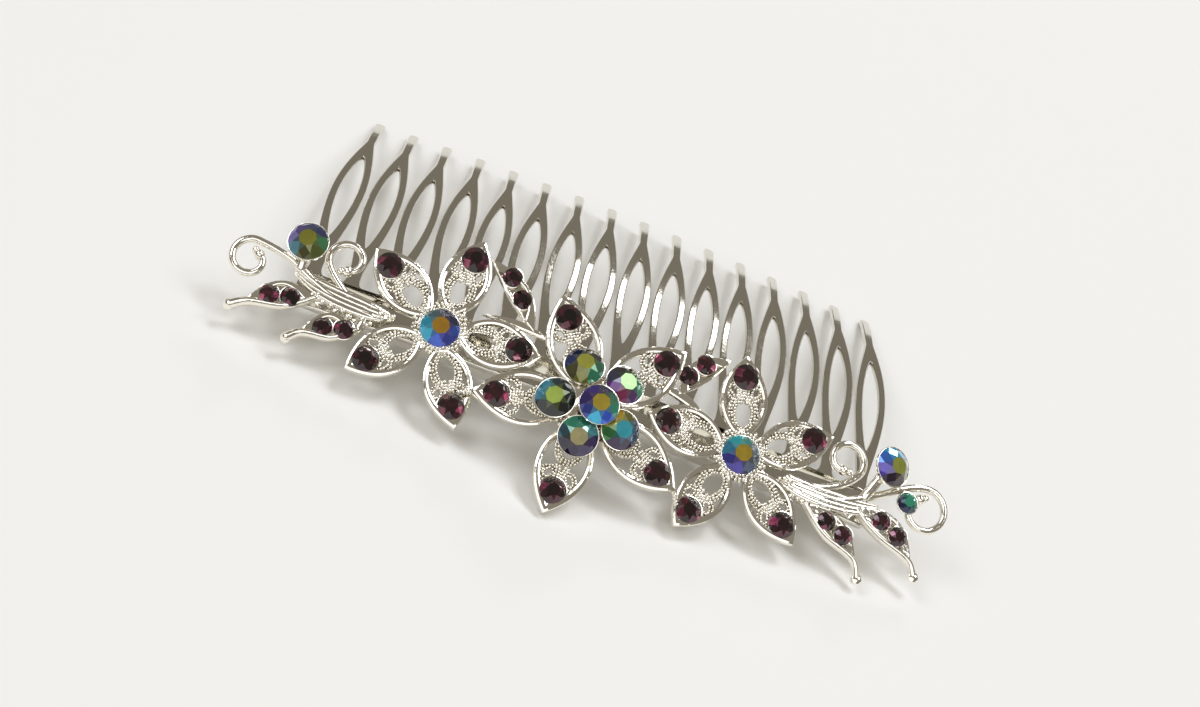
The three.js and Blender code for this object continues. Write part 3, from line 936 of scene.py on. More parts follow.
@dataclass(frozen=True)
class Cup:
    """The cup that a stone is set in: its lip closes on the stone's edge."""

    cut: StoneCut
    wall: float = 0.22
    clearance: float = 0.05
    lip: float = 0.12
    floor: float = 0.3
    taper: float = 0.8
    sides: int = 28

    @property
    def outer(self) -> float:
        """Radius of the cup's outside at the lip."""
        return self.cut.diameter / 2 + self.clearance + self.wall

    def shape(self) -> Shape:
        """Turns the cup: its floor, its wall, its rounded lip over the stone's edge, and its seat.

        Returns:
            Its vertices and faces.
        """
        inner, outer, lip = self.cut.diameter / 2 + self.clearance, self.outer, self.lip
        seat = -self.cut.pavilion - self.clearance
        bottom = seat - self.floor
        wall = [(0.0, bottom), (outer * self.taper, bottom), (outer, 0.25 * bottom), (outer, lip * 0.3)]
        over = [(outer - 0.05, lip * 0.75), (inner + self.wall * 0.45, lip), (inner - 0.02, lip * 0.8)]
        ledge = -self.cut.girdle - self.clearance
        inside = [(inner - 0.03, lip * 0.35), (inner - 0.02, 0.0), (inner, ledge)]
        return turned([*wall, *over, *inside, (inner * 0.3, seat), (0.0, seat)], self.sides)


LARGE_CUP = Cup(LARGE, wall=0.08, clearance=0.02, lip=-0.02)
END_CUP = Cup(LARGE, wall=0.1, clearance=0.02, lip=-0.02, floor=0.4, taper=0.7)
PETAL_CUP = Cup(PETAL, wall=0.14, clearance=0.02, lip=0.03)
ACCENT_CUP = Cup(ACCENT, wall=0.12, clearance=0.02, lip=0.03)
LEAF_CUP = Cup(LEAF, wall=0.12, clearance=0.02, lip=0.03)


# ---------------------------------------------------------------- the stamped comb


@dataclass
class StampedComb:
    """The comb: one sheet stamped into a spine and looped teeth, then bent and bowed."""

    teeth: int = 16
    pitch: float = 5.5
    thickness: float = 0.8
    tooth_length: float = 47.0
    bend_radius: float = 94.0
    bow_radius: float = 500.0
    slope: float = math.radians(5.3)
    spine_height: float = 6.5
    spine_overhang: float = 1.6
    spine_corner: float = 0.8
    stem_half: float = 0.95
    neck_half: float = 0.72
    loop_bulge: float = 1.6
    loop_start: float = 3.0
    tip_length: float = 10.2
    tip_half: float = 0.78
    tip_corner: float = 0.6
    root_flare: float = 0.7
    root_flare_length: float = 1.5
    eye_start: float = 8.0
    eye_end: float = 31.0
    eye_half: float = 1.35
    eye_steps: int = 30
    root_corner: float = 0.3
    round_over: float = 0.22

    def half_width(self, s: float) -> float:
        """Half the width of a tooth.

        Args:
            s: Distance along the tooth from the spine.

        Returns:
            Half its width there.
        """
        shoulder = self.tooth_length - self.tip_length
        if s < self.root_flare_length:
            rise = 1 - s / self.root_flare_length
            return self.stem_half + self.root_flare * (1 - math.sqrt(max(0.0, 1 - rise**2)))
        if s < self.loop_start:
            return self.stem_half
        if s < shoulder:
            t = (s - self.loop_start) / (shoulder - self.loop_start)
            taper = self.stem_half + (self.neck_half - self.stem_half) * t
            return taper + self.loop_bulge * math.sin(math.pi * t) ** 1.12
        corner_start = self.tooth_length - self.tip_corner
        t = (min(s, corner_start) - shoulder) / (corner_start - shoulder)
        width = self.neck_half + (self.tip_half - self.neck_half) * t
        if s > corner_start:
            past = (s - corner_start) / self.tip_corner
            width -= self.tip_corner * (1 - math.sqrt(max(0.0, 1 - past**2)))
        return width

    def tooth_side(self) -> Loop:
        """One side of a tooth from its root to its tip.

        Returns:
            Pairs of half width and distance along.
        """
        root = [self.root_flare_length * (1 - math.cos(math.pi / 2 * k / 5)) for k in range(5)]
        shoulder = self.tooth_length - self.tip_length
        body = list(np.linspace(self.root_flare_length, shoulder, 46))
        corner_start = self.tooth_length - self.tip_corner
        straight = list(np.linspace(shoulder, corner_start, 9))[1:]
        tip = [corner_start + self.tip_corner * math.sin(math.pi / 2 * k / 5) for k in range(1, 6)]
        return [(self.half_width(s), s) for s in (*root, *body, *straight, *tip)]

    def eye(self) -> Loop:
        """The eye of a tooth's loop, pointed at both ends.

        Returns:
            Its points about the tooth's middle line.
        """
        side = []
        for i in range(self.eye_steps + 1):
            t = (1 - math.cos(math.pi * i / self.eye_steps)) / 2
            half = self.eye_half * math.sin(math.pi * t) ** 0.75
            side.append((half, self.eye_start + (self.eye_end - self.eye_start) * t))
        return side + [(-x, s) for x, s in side[-2:0:-1]]

    def outline(self) -> Loop:
        """The whole comb's outer edge in the flat, anticlockwise from its back left corner.

        Returns:
            Its points.
        """
        half = self.pitch * (self.teeth - 1) / 2 + self.spine_overhang
        r, back = self.spine_corner, -self.spine_height
        arc = [math.pi / 2 * k / 4 for k in range(5)]
        loop = [(-half + r - r * math.cos(a), back + r - r * math.sin(a)) for a in arc]
        loop += [(float(x), back) for x in np.linspace(-half + r, half - r, 44)[1:-1]]
        loop += [(half - r + r * math.sin(a), back + r - r * math.cos(a)) for a in arc]
        c = self.root_corner
        loop += [(half - c + c * math.cos(a), -c + c * math.sin(a)) for a in arc]
        side = self.tooth_side()
        for i in reversed(range(self.teeth)):
            middle = (i - (self.teeth - 1) / 2) * self.pitch
            loop += [(middle + x, s) for x, s in side]
            loop += [(middle - x, s) for x, s in reversed(side)]
        loop += [(-half + c - c * math.sin(a), -c + c * math.cos(a)) for a in arc]
        return loop

    def bend(self, point: Vector) -> Vector:
        """Bends and bows a point of the flat sheet.

        Args:
            point: Its place along the comb, along a tooth and through the sheet.

        Returns:
            Its place on the bent comb.
        """
        x, s, through = point
        slope = self.slope - max(s, 0.0) / self.bend_radius
        straight = min(s, 0.0)
        y = straight * math.cos(slope) + self.bend_radius * (math.sin(self.slope) - math.sin(slope))
        z = straight * math.sin(slope) + self.bend_radius * (math.cos(slope) - math.cos(self.slope))
        y -= through * math.sin(slope)
        z += through * math.cos(slope)
        angle, radius = x / self.bow_radius, self.bow_radius + z
        return Vector((radius * math.sin(angle), y, radius * math.cos(angle) - self.bow_radius))

    def build(self, material: bpy.types.Material) -> bpy.types.Object:
        """Stamps and bends the comb, and lays it where the frame has it.

        Args:
            material: Its finish.

        Returns:
            The comb's object.
        """
        eyes = []
        for i in range(self.teeth):
            middle = (i - (self.teeth - 1) / 2) * self.pitch
            eyes.append([(middle + x, s) for x, s in self.eye()])
        half = self.thickness / 2
        verts, faces = cut_plate(self.outline(), eyes, -half, half, self.round_over)
        lean = Matrix.Rotation(REST_TILT, 4, "X")
        piece = Piece("stamped_comb", Slot.COMB)
        piece.add(([lean @ self.bend(v) for v in verts], faces))
        low, high = (Vector(corner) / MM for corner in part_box("comb"))
        own_low = Vector([min(v[k] for v in piece.verts) for k in range(3)])
        own_high = Vector([max(v[k] for v in piece.verts) for k in range(3)])
        sideways = (low.x + high.x - own_low.x - own_high.x) / 2
        shift = Matrix.Translation((sideways, high.y - own_high.y, low.z - own_low.z))
        return piece.finish(Matrix.Scale(MM, 4) @ shift, material, "comb", crease=50.0)


# ---------------------------------------------------------------- flowers


@dataclass(frozen=True)
class BeadRow:
    """A row of milgrain about an opening: how far out it stands, its spacing and its level."""

    out: float
    spacing: float
    level: float


@dataclass(frozen=True)
class Filigree:
    """What fills a petal: a beaded band about an opening, and two beaded lobes towards the stone.

    Levels are over the filigree's floor, and sizes are in millimetres.
    """

    top: float = -0.3
    bottom: float = -0.9
    opening_at: float = 6.0
    opening_half: tuple[float, float] = (2.0, 1.2)
    band: float = 1.05
    band_inset: float = 0.55
    band_drop: float = 0.12
    rows: tuple[BeadRow, ...] = (
        BeadRow(0.12, 0.44, -0.05), BeadRow(0.5, 0.5, 0.08), BeadRow(0.88, 0.5, -0.05),
    )
    row_inset: float = 0.75
    bead: float = 0.25
    lobe_back: float = 2.15
    lobe_aside: float = 1.6
    lobe_half: tuple[float, float] = (1.0, 0.7)
    lobe_turn: float = math.radians(34)
    lobe_wire: float = 0.3
    lobe_drop: float = 0.35
    lobe_rows: tuple[tuple[float, float, float], ...] = ((0.82, 0.5, 0.08), (1.22, 0.95, -0.05))
    lobe_spacing: float = 0.42
    nub_lines: tuple[float, ...] = (0.2, 0.6)
    nub_swell: float = 1.2

    def band_plate(self, petal_half_width: float) -> Shape:
        """The plate of the band about the opening.

        Args:
            petal_half_width: Half the petal's width, which the band keeps inside.

        Returns:
            Its vertices and faces.
        """
        half_length, half_width = self.opening_half
        widest = min(half_width + self.band, petal_half_width - self.band_inset)
        edge = ellipse(self.opening_at, 0, half_length + self.band, widest, 36)
        opening = ellipse(self.opening_at, 0, half_length, half_width, 28)
        return cut_plate(edge, [opening], self.bottom, self.top - self.band_drop, 0.1)

    def bead_band(self, grains: Piece, petal_half_width: float, rng: random.Random) -> None:
        """Beads the band about the opening.

        Args:
            grains: Gathers the beads.
            petal_half_width: Half the petal's width.
            rng: Gives the beads their strays.
        """
        half_length, half_width = self.opening_half
        for bead_row in self.rows:
            widest = min(half_width + bead_row.out, petal_half_width - self.row_inset)
            line = ellipse(self.opening_at, 0, half_length + bead_row.out, widest, 44)
            raised = [Vector((x, y, self.top + bead_row.level)) for x, y in line]
            grains.milgrain(raised, self.bead, bead_row.spacing, rng)

    def lobe(
        self, piece: Piece, grains: Piece, at: Matrix, lobe_at: float, side: int, rng: random.Random,
    ) -> None:
        """Adds a beaded lobe and the nubs beside it.

        Args:
            piece: Takes the lobe's wire.
            grains: Gathers the beads.
            at: The petal's place.
            lobe_at: How far out the lobe is.
            side: 1 for the lobe on the left of the petal, -1 for the other.
            rng: Gives the beads their strays.
        """
        aside, turn = side * self.lobe_aside, side * self.lobe_turn
        loop = ellipse(lobe_at, aside, *self.lobe_half, 24, turn)
        wire = [Vector((x, y, self.top - self.lobe_drop)) for x, y in (*loop, loop[0])]
        piece.add(drawn_wire(wire, self.lobe_wire, sides=8), at)
        for half_length, half_width, level in self.lobe_rows:
            line = ellipse(lobe_at, aside, half_length, half_width, 24, turn)
            raised = [Vector((x, y, self.top + level)) for x, y in line]
            grains.milgrain(raised, self.bead, self.lobe_spacing, rng)
        for inward in self.nub_lines:
            line = [(-1.5, inward + 0.2), (-0.5, inward), (0.2, inward)]
            nubs = [Vector((lobe_at + x, side * y, self.top)) for x, y in line]
            grains.milgrain(nubs, self.bead * self.nub_swell, self.lobe_spacing, rng, closed=False)


@dataclass
class Flower:
    """A cast five-petal flower with pierced, milgrained petals and a cup in each tip."""

    name: str
    reach: float
    half_width: float
    hub: float
    stone_at: float
    directions: tuple[float, ...]
    centre_node: str | None
    seed: int
    centre_lift: float = 0.15
    root: float = 2.6
    root_half_width: float = 0.8
    rim: float = 0.85
    rim_top: float = 0.1
    rim_roundness: float = 0.42
    inside_root: float = 3.5
    inside_root_half_width: float = 0.4
    inside_tip_rims: float = 1.9
    underside: float = -1.3
    hub_top: float = -0.1
    tip_ball: float = 0.5
    tip_ball_back: float = 1.35
    filigree: Filigree = Filigree()
    links: tuple[tuple[tuple[float, float, float], tuple[float, float, float]], ...] = ()

    # Rings of nuggets round the hub: how far beyond its edge, the nuggets' radius and their level.
    HUB_RINGS: ClassVar[tuple[tuple[float, float, float], ...]] = (
        (0.45, 0.36, -0.35), (0.1, 0.33, -0.12), (-0.3, 0.25, 0.0),
    )

    def frame_at(self) -> Matrix:
        """Finds the flower's flat frame from a stone that sits in it.

        Returns:
            The frame, from millimetres to metres.
        """
        if self.centre_node:
            return stone_seat(self.centre_node, LARGE.crown) @ place(0, 0, -self.centre_lift)
        angle = math.radians(self.directions[0])
        seat = stone_seat(f"{self.name}_petal_stone_1", PETAL.crown)
        return seat @ place(-self.stone_at * math.cos(angle), -self.stone_at * math.sin(angle))

    def petal(self, piece: Piece, angle: float) -> None:
        """Adds one petal: rim, open filigree with its milgrain, cup and tip ball.

        Args:
            piece: The casting.
            angle: The petal's direction, in radians.
        """
        at = Matrix.Rotation(angle, 4, "Z")
        outer = petal_outline(self.root, self.reach, self.half_width, self.root_half_width)
        inner = petal_outline(
            self.inside_root, self.reach - self.inside_tip_rims * self.rim, self.half_width - self.rim,
            self.inside_root_half_width,
        )
        rounding = self.rim * self.rim_roundness
        piece.add(cut_plate(outer, [inner], self.underside, self.rim_top, rounding), at)

        filigree = self.filigree
        rng = random.Random(self.seed + round(angle * 100))
        grains = Piece("milgrain", Slot.CASTING)
        piece.add(filigree.band_plate(self.half_width), at)
        filigree.bead_band(grains, self.half_width, rng)
        for side in (-1, 1):
            filigree.lobe(piece, grains, at, self.stone_at - filigree.lobe_back, side, rng)
        piece.add((grains.verts, grains.faces), at)

        piece.add(PETAL_CUP.shape(), at @ place(self.stone_at, 0))
        tip = Vector((self.reach - self.tip_ball_back, 0, filigree.top - 0.1))
        piece.add(shot(tip, self.tip_ball, sides=10, rings=6), at)

    def nuggets(self, piece: Piece) -> None:
        """Adds the nuggets of metal around the hub.

        Args:
            piece: The casting.
        """
        rng = random.Random(self.seed)
        for beyond, size, level in self.HUB_RINGS:
            ring_radius = self.hub + beyond
            count = round(math.tau * ring_radius / (size * 1.8))
            for k in range(count):
                angle = math.tau * (k + rng.uniform(-0.2, 0.2)) / count
                distance = ring_radius + rng.uniform(-0.15, 0.15)
                at = Vector((distance * math.cos(angle), distance * math.sin(angle), level))
                piece.add(shot(at, size * rng.uniform(0.8, 1.15), sides=8, rings=5))

    def build(self, material: bpy.types.Material) -> bpy.types.Object:
        """Casts the flower where the frame has it.

        Args:
            material: Its finish.

        Returns:
            The flower's object.
        """
        piece = Piece(f"{self.name}_casting", Slot.CASTING)
        hub = ellipse(0, 0, self.hub, self.hub, 40)
        piece.add(cut_plate(hub, [], self.underside, self.hub_top, 0.25))
        for direction in self.directions:
            self.petal(piece, math.radians(direction))
        self.nuggets(piece)
        rng = random.Random(self.seed + 1)
        for start, end in self.links:
            link = [Vector(start), Vector(end)]
            piece.milgrain(link, self.filigree.bead * 1.5, 0.5, rng, closed=False)
        if self.centre_node:
            piece.add(LARGE_CUP.shape(), place(0, 0, self.centre_lift))
        return piece.finish(self.frame_at(), material, self.name)


@dataclass
class StoneCluster:
    """The raised group of cups over the middle flower: five in a ring, one over them."""

    flower: Flower
    base: float = 3.9
    base_bottom: float = 0.2
    base_top: float = 1.7
    column: float = 1.2
    column_sink: float = 0.3

    def build(self, material: bpy.types.Material) -> bpy.types.Object:
        """Casts the cluster where the frame has it.

        Args:
            material: Its finish.

        Returns:
            The cluster's object.
        """
        frame_at = self.flower.frame_at()
        inverse = frame_at.inverted()
        piece = Piece("stone_cluster_casting", Slot.CASTING)
        base = ellipse(0, 0, self.base, self.base, 36)
        piece.add(cut_plate(base, [], self.base_bottom, self.base_top, 0.3))
        nodes = [f"cluster_stone_{k + 1}" for k in range(5)] + ["cluster_top_stone"]
        for node in nodes:
            seat = inverse @ stone_seat(node, LARGE.crown)
            piece.add(LARGE_CUP.shape(), seat)
        top = (inverse @ stone_seat("cluster_top_stone", LARGE.crown)).translation
        foot = self.base_top - self.column_sink
        head = top.z - LARGE.pavilion - self.column_sink
        post = [Vector((top.x, top.y, foot)), Vector((top.x, top.y, head))]
        piece.add(drawn_wire(post, self.column, sides=16))
        return piece.finish(frame_at, material, "stone_cluster")


# ---------------------------------------------------------------- sprays and upper leaves


@dataclass(frozen=True)
class Curl:
    """A scroll that winds in about its centre; angles are in degrees."""

    centre: tuple[float, float]
    radius: float
    inner_radius: float
    start: float
    sweep: float

    def points(self, steps: int = 10) -> Loop:
        """Winds the curl.

        Args:
            steps: How many steps it takes.

        Returns:
            Its points, closer in towards its end.
        """
        loop = []
        for i in range(steps + 1):
            wound = i / steps
            angle = math.radians(self.start + self.sweep * wound)
            distance = self.radius - (self.radius - self.inner_radius) * wound**3
            x, y = self.centre
            loop.append((x + distance * math.cos(angle), y + distance * math.sin(angle)))
        return loop


@dataclass(frozen=True)
class Leaf:
    """A cast leaf with two cups, and for a spray's leaf its joint and knob."""

    base: tuple[float, float]
    tip: tuple[float, float]
    bulge: float
    belly: float
    stones: tuple[tuple[float, float], ...]
    joint: tuple[float, float] | None = None
    knob: tuple[float, float] | None = None


# Levels of a leaf's wall, of its floor and of a ribbon.
WALL_TOP, WALL_BOTTOM = 0.1, -1.2
LEAF_FLOOR_TOP, LEAF_FLOOR_BOTTOM = -0.35, -1.05
RIBBON_TOP, RIBBON_BOTTOM = 0.0, -0.9


def cast_leaf(piece: Piece, leaf: Leaf, side: int) -> None:
    """Adds a leaf's body and its cups to a casting.

    Args:
        piece: The casting.
        leaf: The leaf.
        side: -1 mirrors it across the comb.
    """
    base, tip = (side * leaf.base[0], leaf.base[1]), (side * leaf.tip[0], leaf.tip[1])
    bulge, belly = side * leaf.bulge, side * leaf.belly
    outer = leaf_outline(base, tip, bulge, belly)
    start, end = Vector(base), Vector(tip)
    inner_base, inner_tip = start.lerp(end, 0.2), start.lerp(end, 0.8)
    grow = math.copysign(1.0, bulge)
    inner = leaf_outline(inner_base, inner_tip, bulge - grow * 0.62, belly - grow * 0.5)
    piece.add(cut_plate(outer, [inner], WALL_BOTTOM, WALL_TOP, 0.2))
    floor_base, floor_tip = start.lerp(end, 0.1), start.lerp(end, 0.9)
    floor = leaf_outline(floor_base, floor_tip, bulge - grow * 0.3, belly - grow * 0.25)
    piece.add(cut_plate(floor, [], LEAF_FLOOR_BOTTOM, LEAF_FLOOR_TOP, 0.12))
    for x, y in leaf.stones:
        piece.add(LEAF_CUP.shape(), place(side * x, y))


@dataclass
class Spray:
    """A cast spray: two scrolls, two leaves and a stalked end cup."""

    name: str
    side: int
    long_stem: tuple[tuple[float, float], ...]
    long_curl: Curl
    short_stem: tuple[tuple[float, float], ...]
    short_curl: Curl
    leaves: tuple[Leaf, Leaf]
    end_foot: float
    seed: int
    has_scroll_stone: bool = False
    wire: float = 0.57
    wire_level: float = -0.35
    ball: float = 0.78
    knob: float = 0.84
    knob_sides: int = 16
    tail_swell: float = 0.22
    root_base: tuple[float, float] = (-11.0, -1.6)
    root_tip: tuple[float, float] = (2.6, -0.6)
    root_bulge: float = 1.0
    root_belly: float = 1.7
    root_top: float = -0.2
    stalk: float = 0.75
    stem: float = 0.6
    stem_level: float = -0.55
    knob_level: float = -0.65
    tail: float = 0.5
    tail_height: float = 1.4
    strand_drop: float = 0.2
    strand_fans: tuple[float, ...] = (-0.9, -0.3, 0.3, 0.9)

    # Middle line of the strands at the spray's root, with how far they fan out and their level.
    STRAND_LINE: ClassVar[tuple[tuple[float, float, float, float], ...]] = (
        (-11.0, -1.6, 0.2, -0.8), (-8.0, -1.7, 0.9, -0.35), (-3.0, -1.2, 1.1, -0.25),
        (0.6, -0.4, 0.9, -0.25), (3.4, 0.7, 0.5, -0.35),
    )

    def frame_at(self) -> Matrix:
        """Finds the spray's flat frame from its first leaf stone.

        Returns:
            The frame, from millimetres to metres.
        """
        x, y = self.leaves[0].stones[0]
        seat = stone_seat(f"{self.name}_leaf_stone_1", LEAF.crown)
        return seat @ place(-self.side * x, -y)

    @staticmethod
    def strand_radius(share: float) -> float:
        """Radius of a strand: thickest near its foot, and thin at both ends."""
        return 0.2 + 0.34 * math.sin(math.pi * share**0.6)

    def raised(self, point: Sequence[float], level: float) -> Vector:
        """A place in the spray's frame, mirrored on the left."""
        return Vector((self.side * point[0], point[1], level))

    def scroll(
        self, piece: Piece, stem: Sequence[tuple[float, float]], curl: Curl, taper: float,
    ) -> None:
        """Adds a scroll's wire and its melted double ball end.

        Args:
            piece: The casting.
            stem: The scroll's points up to its curl.
            curl: Its curl.
            taper: Share of its girth that it loses by its end.
        """
        path = [self.raised(point, self.wire_level) for point in smooth_path([*stem, *curl.points()], 90)]
        piece.add(drawn_wire(path, lambda share: self.wire * (1.0 - taper * share), sides=12))
        end = path[-1]
        piece.add(shot(end, self.ball, sides=14, rings=9))
        inward = (path[-1] - path[-4]).normalized()
        piece.add(shot(end + inward * self.ball * 1.1, self.ball * 0.72, sides=12, rings=8))

    def nuggets(
        self, piece: Piece, line: Sequence[tuple[float, float]], count: int, spread: float,
    ) -> None:
        """Adds grains of metal strewn along a line.

        Args:
            piece: The casting.
            line: Points of the line.
            count: How many grains there are.
            spread: How far they stray from the line.
        """
        rng = random.Random(self.seed + count)
        for point in smooth_path(line, count):
            at = self.raised((point.x + rng.gauss(0, spread), point.y + rng.gauss(0, spread)), 0.0)
            at.z = rng.uniform(-0.45, 0.0)
            piece.add(shot(at, rng.uniform(0.28, 0.5), sides=8, rings=5, flatten=rng.uniform(0.7, 1.1)))

    def leaf(self, piece: Piece, leaf: Leaf) -> None:
        """Adds a leaf with its stem, the thick keel under its lower wall, and its knob.

        Args:
            piece: The casting.
            leaf: The leaf.
        """
        cast_leaf(piece, leaf, self.side)
        joint, base, tip = (self.raised(p, self.stem_level) for p in (leaf.joint, leaf.base, leaf.tip))
        knob = self.raised(leaf.knob, self.knob_level)
        piece.add(drawn_wire(smooth_path([joint, base, base.lerp(tip, 0.25)], 14), self.stem, sides=12))
        along = (tip - base).normalized()
        below = Vector((along.y, -along.x, 0.0)) * self.side
        belly = base.lerp(tip, 0.5) + below * (leaf.belly + 0.1)
        shoulder = base.lerp(belly, 0.55) + below * 0.2
        keel = smooth_path([base, shoulder, belly, tip + below * 0.15, knob], 40)

        def keel_radius(share: float) -> float:
            """The keel's radius, which changes towards the knob."""
            return self.tail + self.tail_swell * share**2

        piece.add(drawn_wire(keel, keel_radius, sides=12, flatten=self.tail_height))
        piece.add(shot(knob, self.knob, sides=self.knob_sides, rings=self.knob_sides // 2))

    def strands(self, piece: Piece) -> None:
        """Adds the strands that fan out along the spray's root.

        Args:
            piece: The casting.
        """
        for fan in self.strand_fans:
            strand = [
                self.raised((x, y + fan * spread - self.strand_drop), level)
                for x, y, spread, level in self.STRAND_LINE
            ]
            piece.add(drawn_wire(smooth_path(strand, 30), self.strand_radius, sides=12))

    def build(self, material: bpy.types.Material) -> bpy.types.Object:
        """Casts the spray where the frame has it.

        Args:
            material: Its finish.

        Returns:
            The spray's object.
        """
        piece = Piece(f"{self.name}_casting", Slot.CASTING)
        root_base, root_tip = ((self.side * x, y) for x, y in (self.root_base, self.root_tip))
        root = leaf_outline(root_base, root_tip, self.side * self.root_bulge, self.side * self.root_belly)
        piece.add(cut_plate(root, [], WALL_BOTTOM, self.root_top, 0.3))
        self.scroll(piece, self.long_stem, self.long_curl, 0.1)
        self.scroll(piece, self.short_stem, self.short_curl, 0.15)
        for leaf in self.leaves:
            self.leaf(piece, leaf)
        self.strands(piece)
        self.nuggets(piece, [(x, y - 1.3) for x, y in self.long_stem[:3]], 18, 0.3)
        self.nuggets(piece, (self.root_base, (-5.0, -2.6), (-0.5, -2.2)), 16, 0.3)

        frame_at = self.frame_at()
        inverse = frame_at.inverted()
        seat = inverse @ stone_seat(f"{self.name}_end_stone", LARGE.crown)
        before, after = (self.raised(point, self.wire_level) for point in self.long_stem[2:4])
        cup_base = seat @ Vector((0.0, 0.0, -LARGE.pavilion - 0.2))
        stalk = smooth_path([before.lerp(after, self.end_foot), cup_base], 6)
        piece.add(drawn_wire(stalk, self.stalk, sides=14))
        piece.add(END_CUP.shape(), seat)
        if self.has_scroll_stone:
            piece.add(ACCENT_CUP.shape(), inverse @ stone_seat(f"{self.name}_scroll_stone", ACCENT.crown))
        return piece.finish(frame_at, material, self.name)


@dataclass
class UpperLeaf:
    """A leaf behind the flowers, with a plain ribbon at its base."""

    name: str
    leaf: Leaf
    ribbon: Leaf

    def build(self, material: bpy.types.Material) -> bpy.types.Object:
        """Casts the leaf where the frame has it.

        Args:
            material: Its finish.

        Returns:
            The leaf's object.
        """
        piece = Piece(f"{self.name}_casting", Slot.CASTING)
        cast_leaf(piece, self.leaf, 1)
        band = leaf_outline(self.ribbon.base, self.ribbon.tip, self.ribbon.bulge, self.ribbon.belly, 18)
        piece.add(cut_plate(band, [], RIBBON_BOTTOM, RIBBON_TOP, 0.3))
        x, y = self.leaf.stones[0]
        frame_at = stone_seat(f"{self.name}_stone_1", LEAF.crown) @ place(-x, -y)
        return piece.finish(frame_at, material, self.name)


@dataclass
class SolderJoint:
    """A fillet of solder between the spine and a casting, waisted and softly lumpy."""

    node: str
    seed: int
    waist: float = 0.72
    height: float = 0.96
    lump: float = 0.08
    steps: int = 10
    sides: int = 20

    def build(self, material: bpy.types.Material) -> bpy.types.Object:
        """Flows the solder inside its node's room.

        Args:
            material: Its finish.

        Returns:
            The fillet's object.
        """
        low, high = (Vector(corner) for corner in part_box(self.node))
        middle = (low + high) / 2
        size = (high - low) / 2 / MM
        rng = random.Random(self.seed)
        profile = []
        for i in range(self.steps + 1):
            t = i / self.steps
            girth = self.waist + (1.0 - self.waist) * (2 * t - 1) ** 2
            end = min(1.0, 4.0 * min(t, 1 - t)) ** 0.5
            profile.append((girth * end, (2 * t - 1) * self.height))
        verts, faces = turned(profile, self.sides)
        swell = [rng.uniform(1.0 - self.lump, 1.0) for _ in range(self.sides)]
        shaped = []
        for v in verts:
            k = round(math.atan2(v.y, v.x) / math.tau * self.sides) % self.sides
            shaped.append(Vector((v.x * size.x * swell[k], v.y * size.y * swell[k], v.z * size.z)))
        piece = Piece(f"{self.node}_fillet", Slot.SOLDER)
        piece.add((shaped, faces))
        return piece.finish(Matrix.Translation(middle) @ Matrix.Scale(MM, 4), material, self.node)


# ---------------------------------------------------------------- the comb's own pieces

SIDE_FLOWER: dict[str, float] = {"reach": 14.3, "half_width": 3.45, "hub": 3.2, "stone_at": 11.2}
LEFT_FLOWER = Flower(
    "left_flower", **SIDE_FLOWER, directions=(4, 82, 146, 223, 296),
    centre_node="left_flower_centre_stone", seed=11,
)
RIGHT_FLOWER = Flower(
    "right_flower", **SIDE_FLOWER, directions=(35, 106, 179, 248, 322),
    centre_node="right_flower_centre_stone", seed=13,
)
CENTRE_FLOWER = Flower(
    "centre_flower", reach=16.3, half_width=3.9, hub=4.2, stone_at=12.9,
    directions=(51, 122, 194, 266, 336), centre_node=None, seed=12,
    links=(((-15.0, -3.8, -0.5), (-17.2, -4.2, -2.2)), ((14.5, -6.3, -0.5), (15.9, -7.7, -2.1))),
)
LEFT_SPRAY = Spray(
    "left_spray", -1,
    long_stem=((-8.4, -2.5), (-3.4, -1.7), (1.1, 0.1), (4.9, 2.1)),
    long_curl=Curl((9.8, 0.6), 2.69, 1.15, 110, -325),
    short_stem=((-9.4, -1.8), (-5.4, -1.3), (-2.7, 0.5)),
    short_curl=Curl((-2.7, 4.1), 2.5, 1.5, -40, 290),
    leaves=(
        Leaf(
            (-0.3, -2.2), (8.6, -5.4), 2.5, 0.9, ((3.0, -3.3), (5.9, -3.8)),
            joint=(-3.0, -1.6), knob=(10.6, -6.7),
        ),
        Leaf(
            (-6.9, -4.9), (0.3, -7.4), 2.4, 0.9, ((-5.2, -5.5), (-2.3, -6.1)),
            joint=(-7.4, -2.4), knob=(1.9, -8.8),
        ),
    ),
    end_foot=0.5, seed=21,
)
RIGHT_SPRAY = Spray(
    "right_spray", 1,
    long_stem=((-9.4, -2.1), (-4.8, -1.8), (-0.8, -0.1), (3.2, 2.6), (6.0, 4.9)),
    long_curl=Curl((10.0, 3.5), 3.15, 1.6, 112, -340),
    short_stem=((-10.0, -1.1), (-5.8, -0.6), (-2.7, 1.3)),
    short_curl=Curl((-3.0, 4.9), 2.6, 1.4, -35, 305),
    leaves=(
        Leaf(
            (0.6, -0.7), (10.6, -4.2), 3.1, 0.5, ((4.6, -0.8), (7.7, -1.8)),
            joint=(-2.0, -0.8), knob=(11.9, -6.0),
        ),
        Leaf(
            (-6.4, -3.4), (3.0, -7.6), 2.5, 0.8, ((-2.8, -4.4), (0.2, -5.2)),
            joint=(-7.4, -2.2), knob=(4.3, -9.9),
        ),
    ),
    end_foot=0.5, seed=22, has_scroll_stone=True, knob_sides=6, tail_swell=0.04,
)
LEFT_UPPER_LEAF = UpperLeaf(
    "left_upper_leaf",
    leaf=Leaf((4.6, -4.5), (-4.2, 3.6), -2.6, -0.5, ((-0.7, 2.1), (1.6, -0.5))),
    ribbon=Leaf((-3.0, -4.5), (8.2, -5.0), 1.3, -0.1, ()),
)
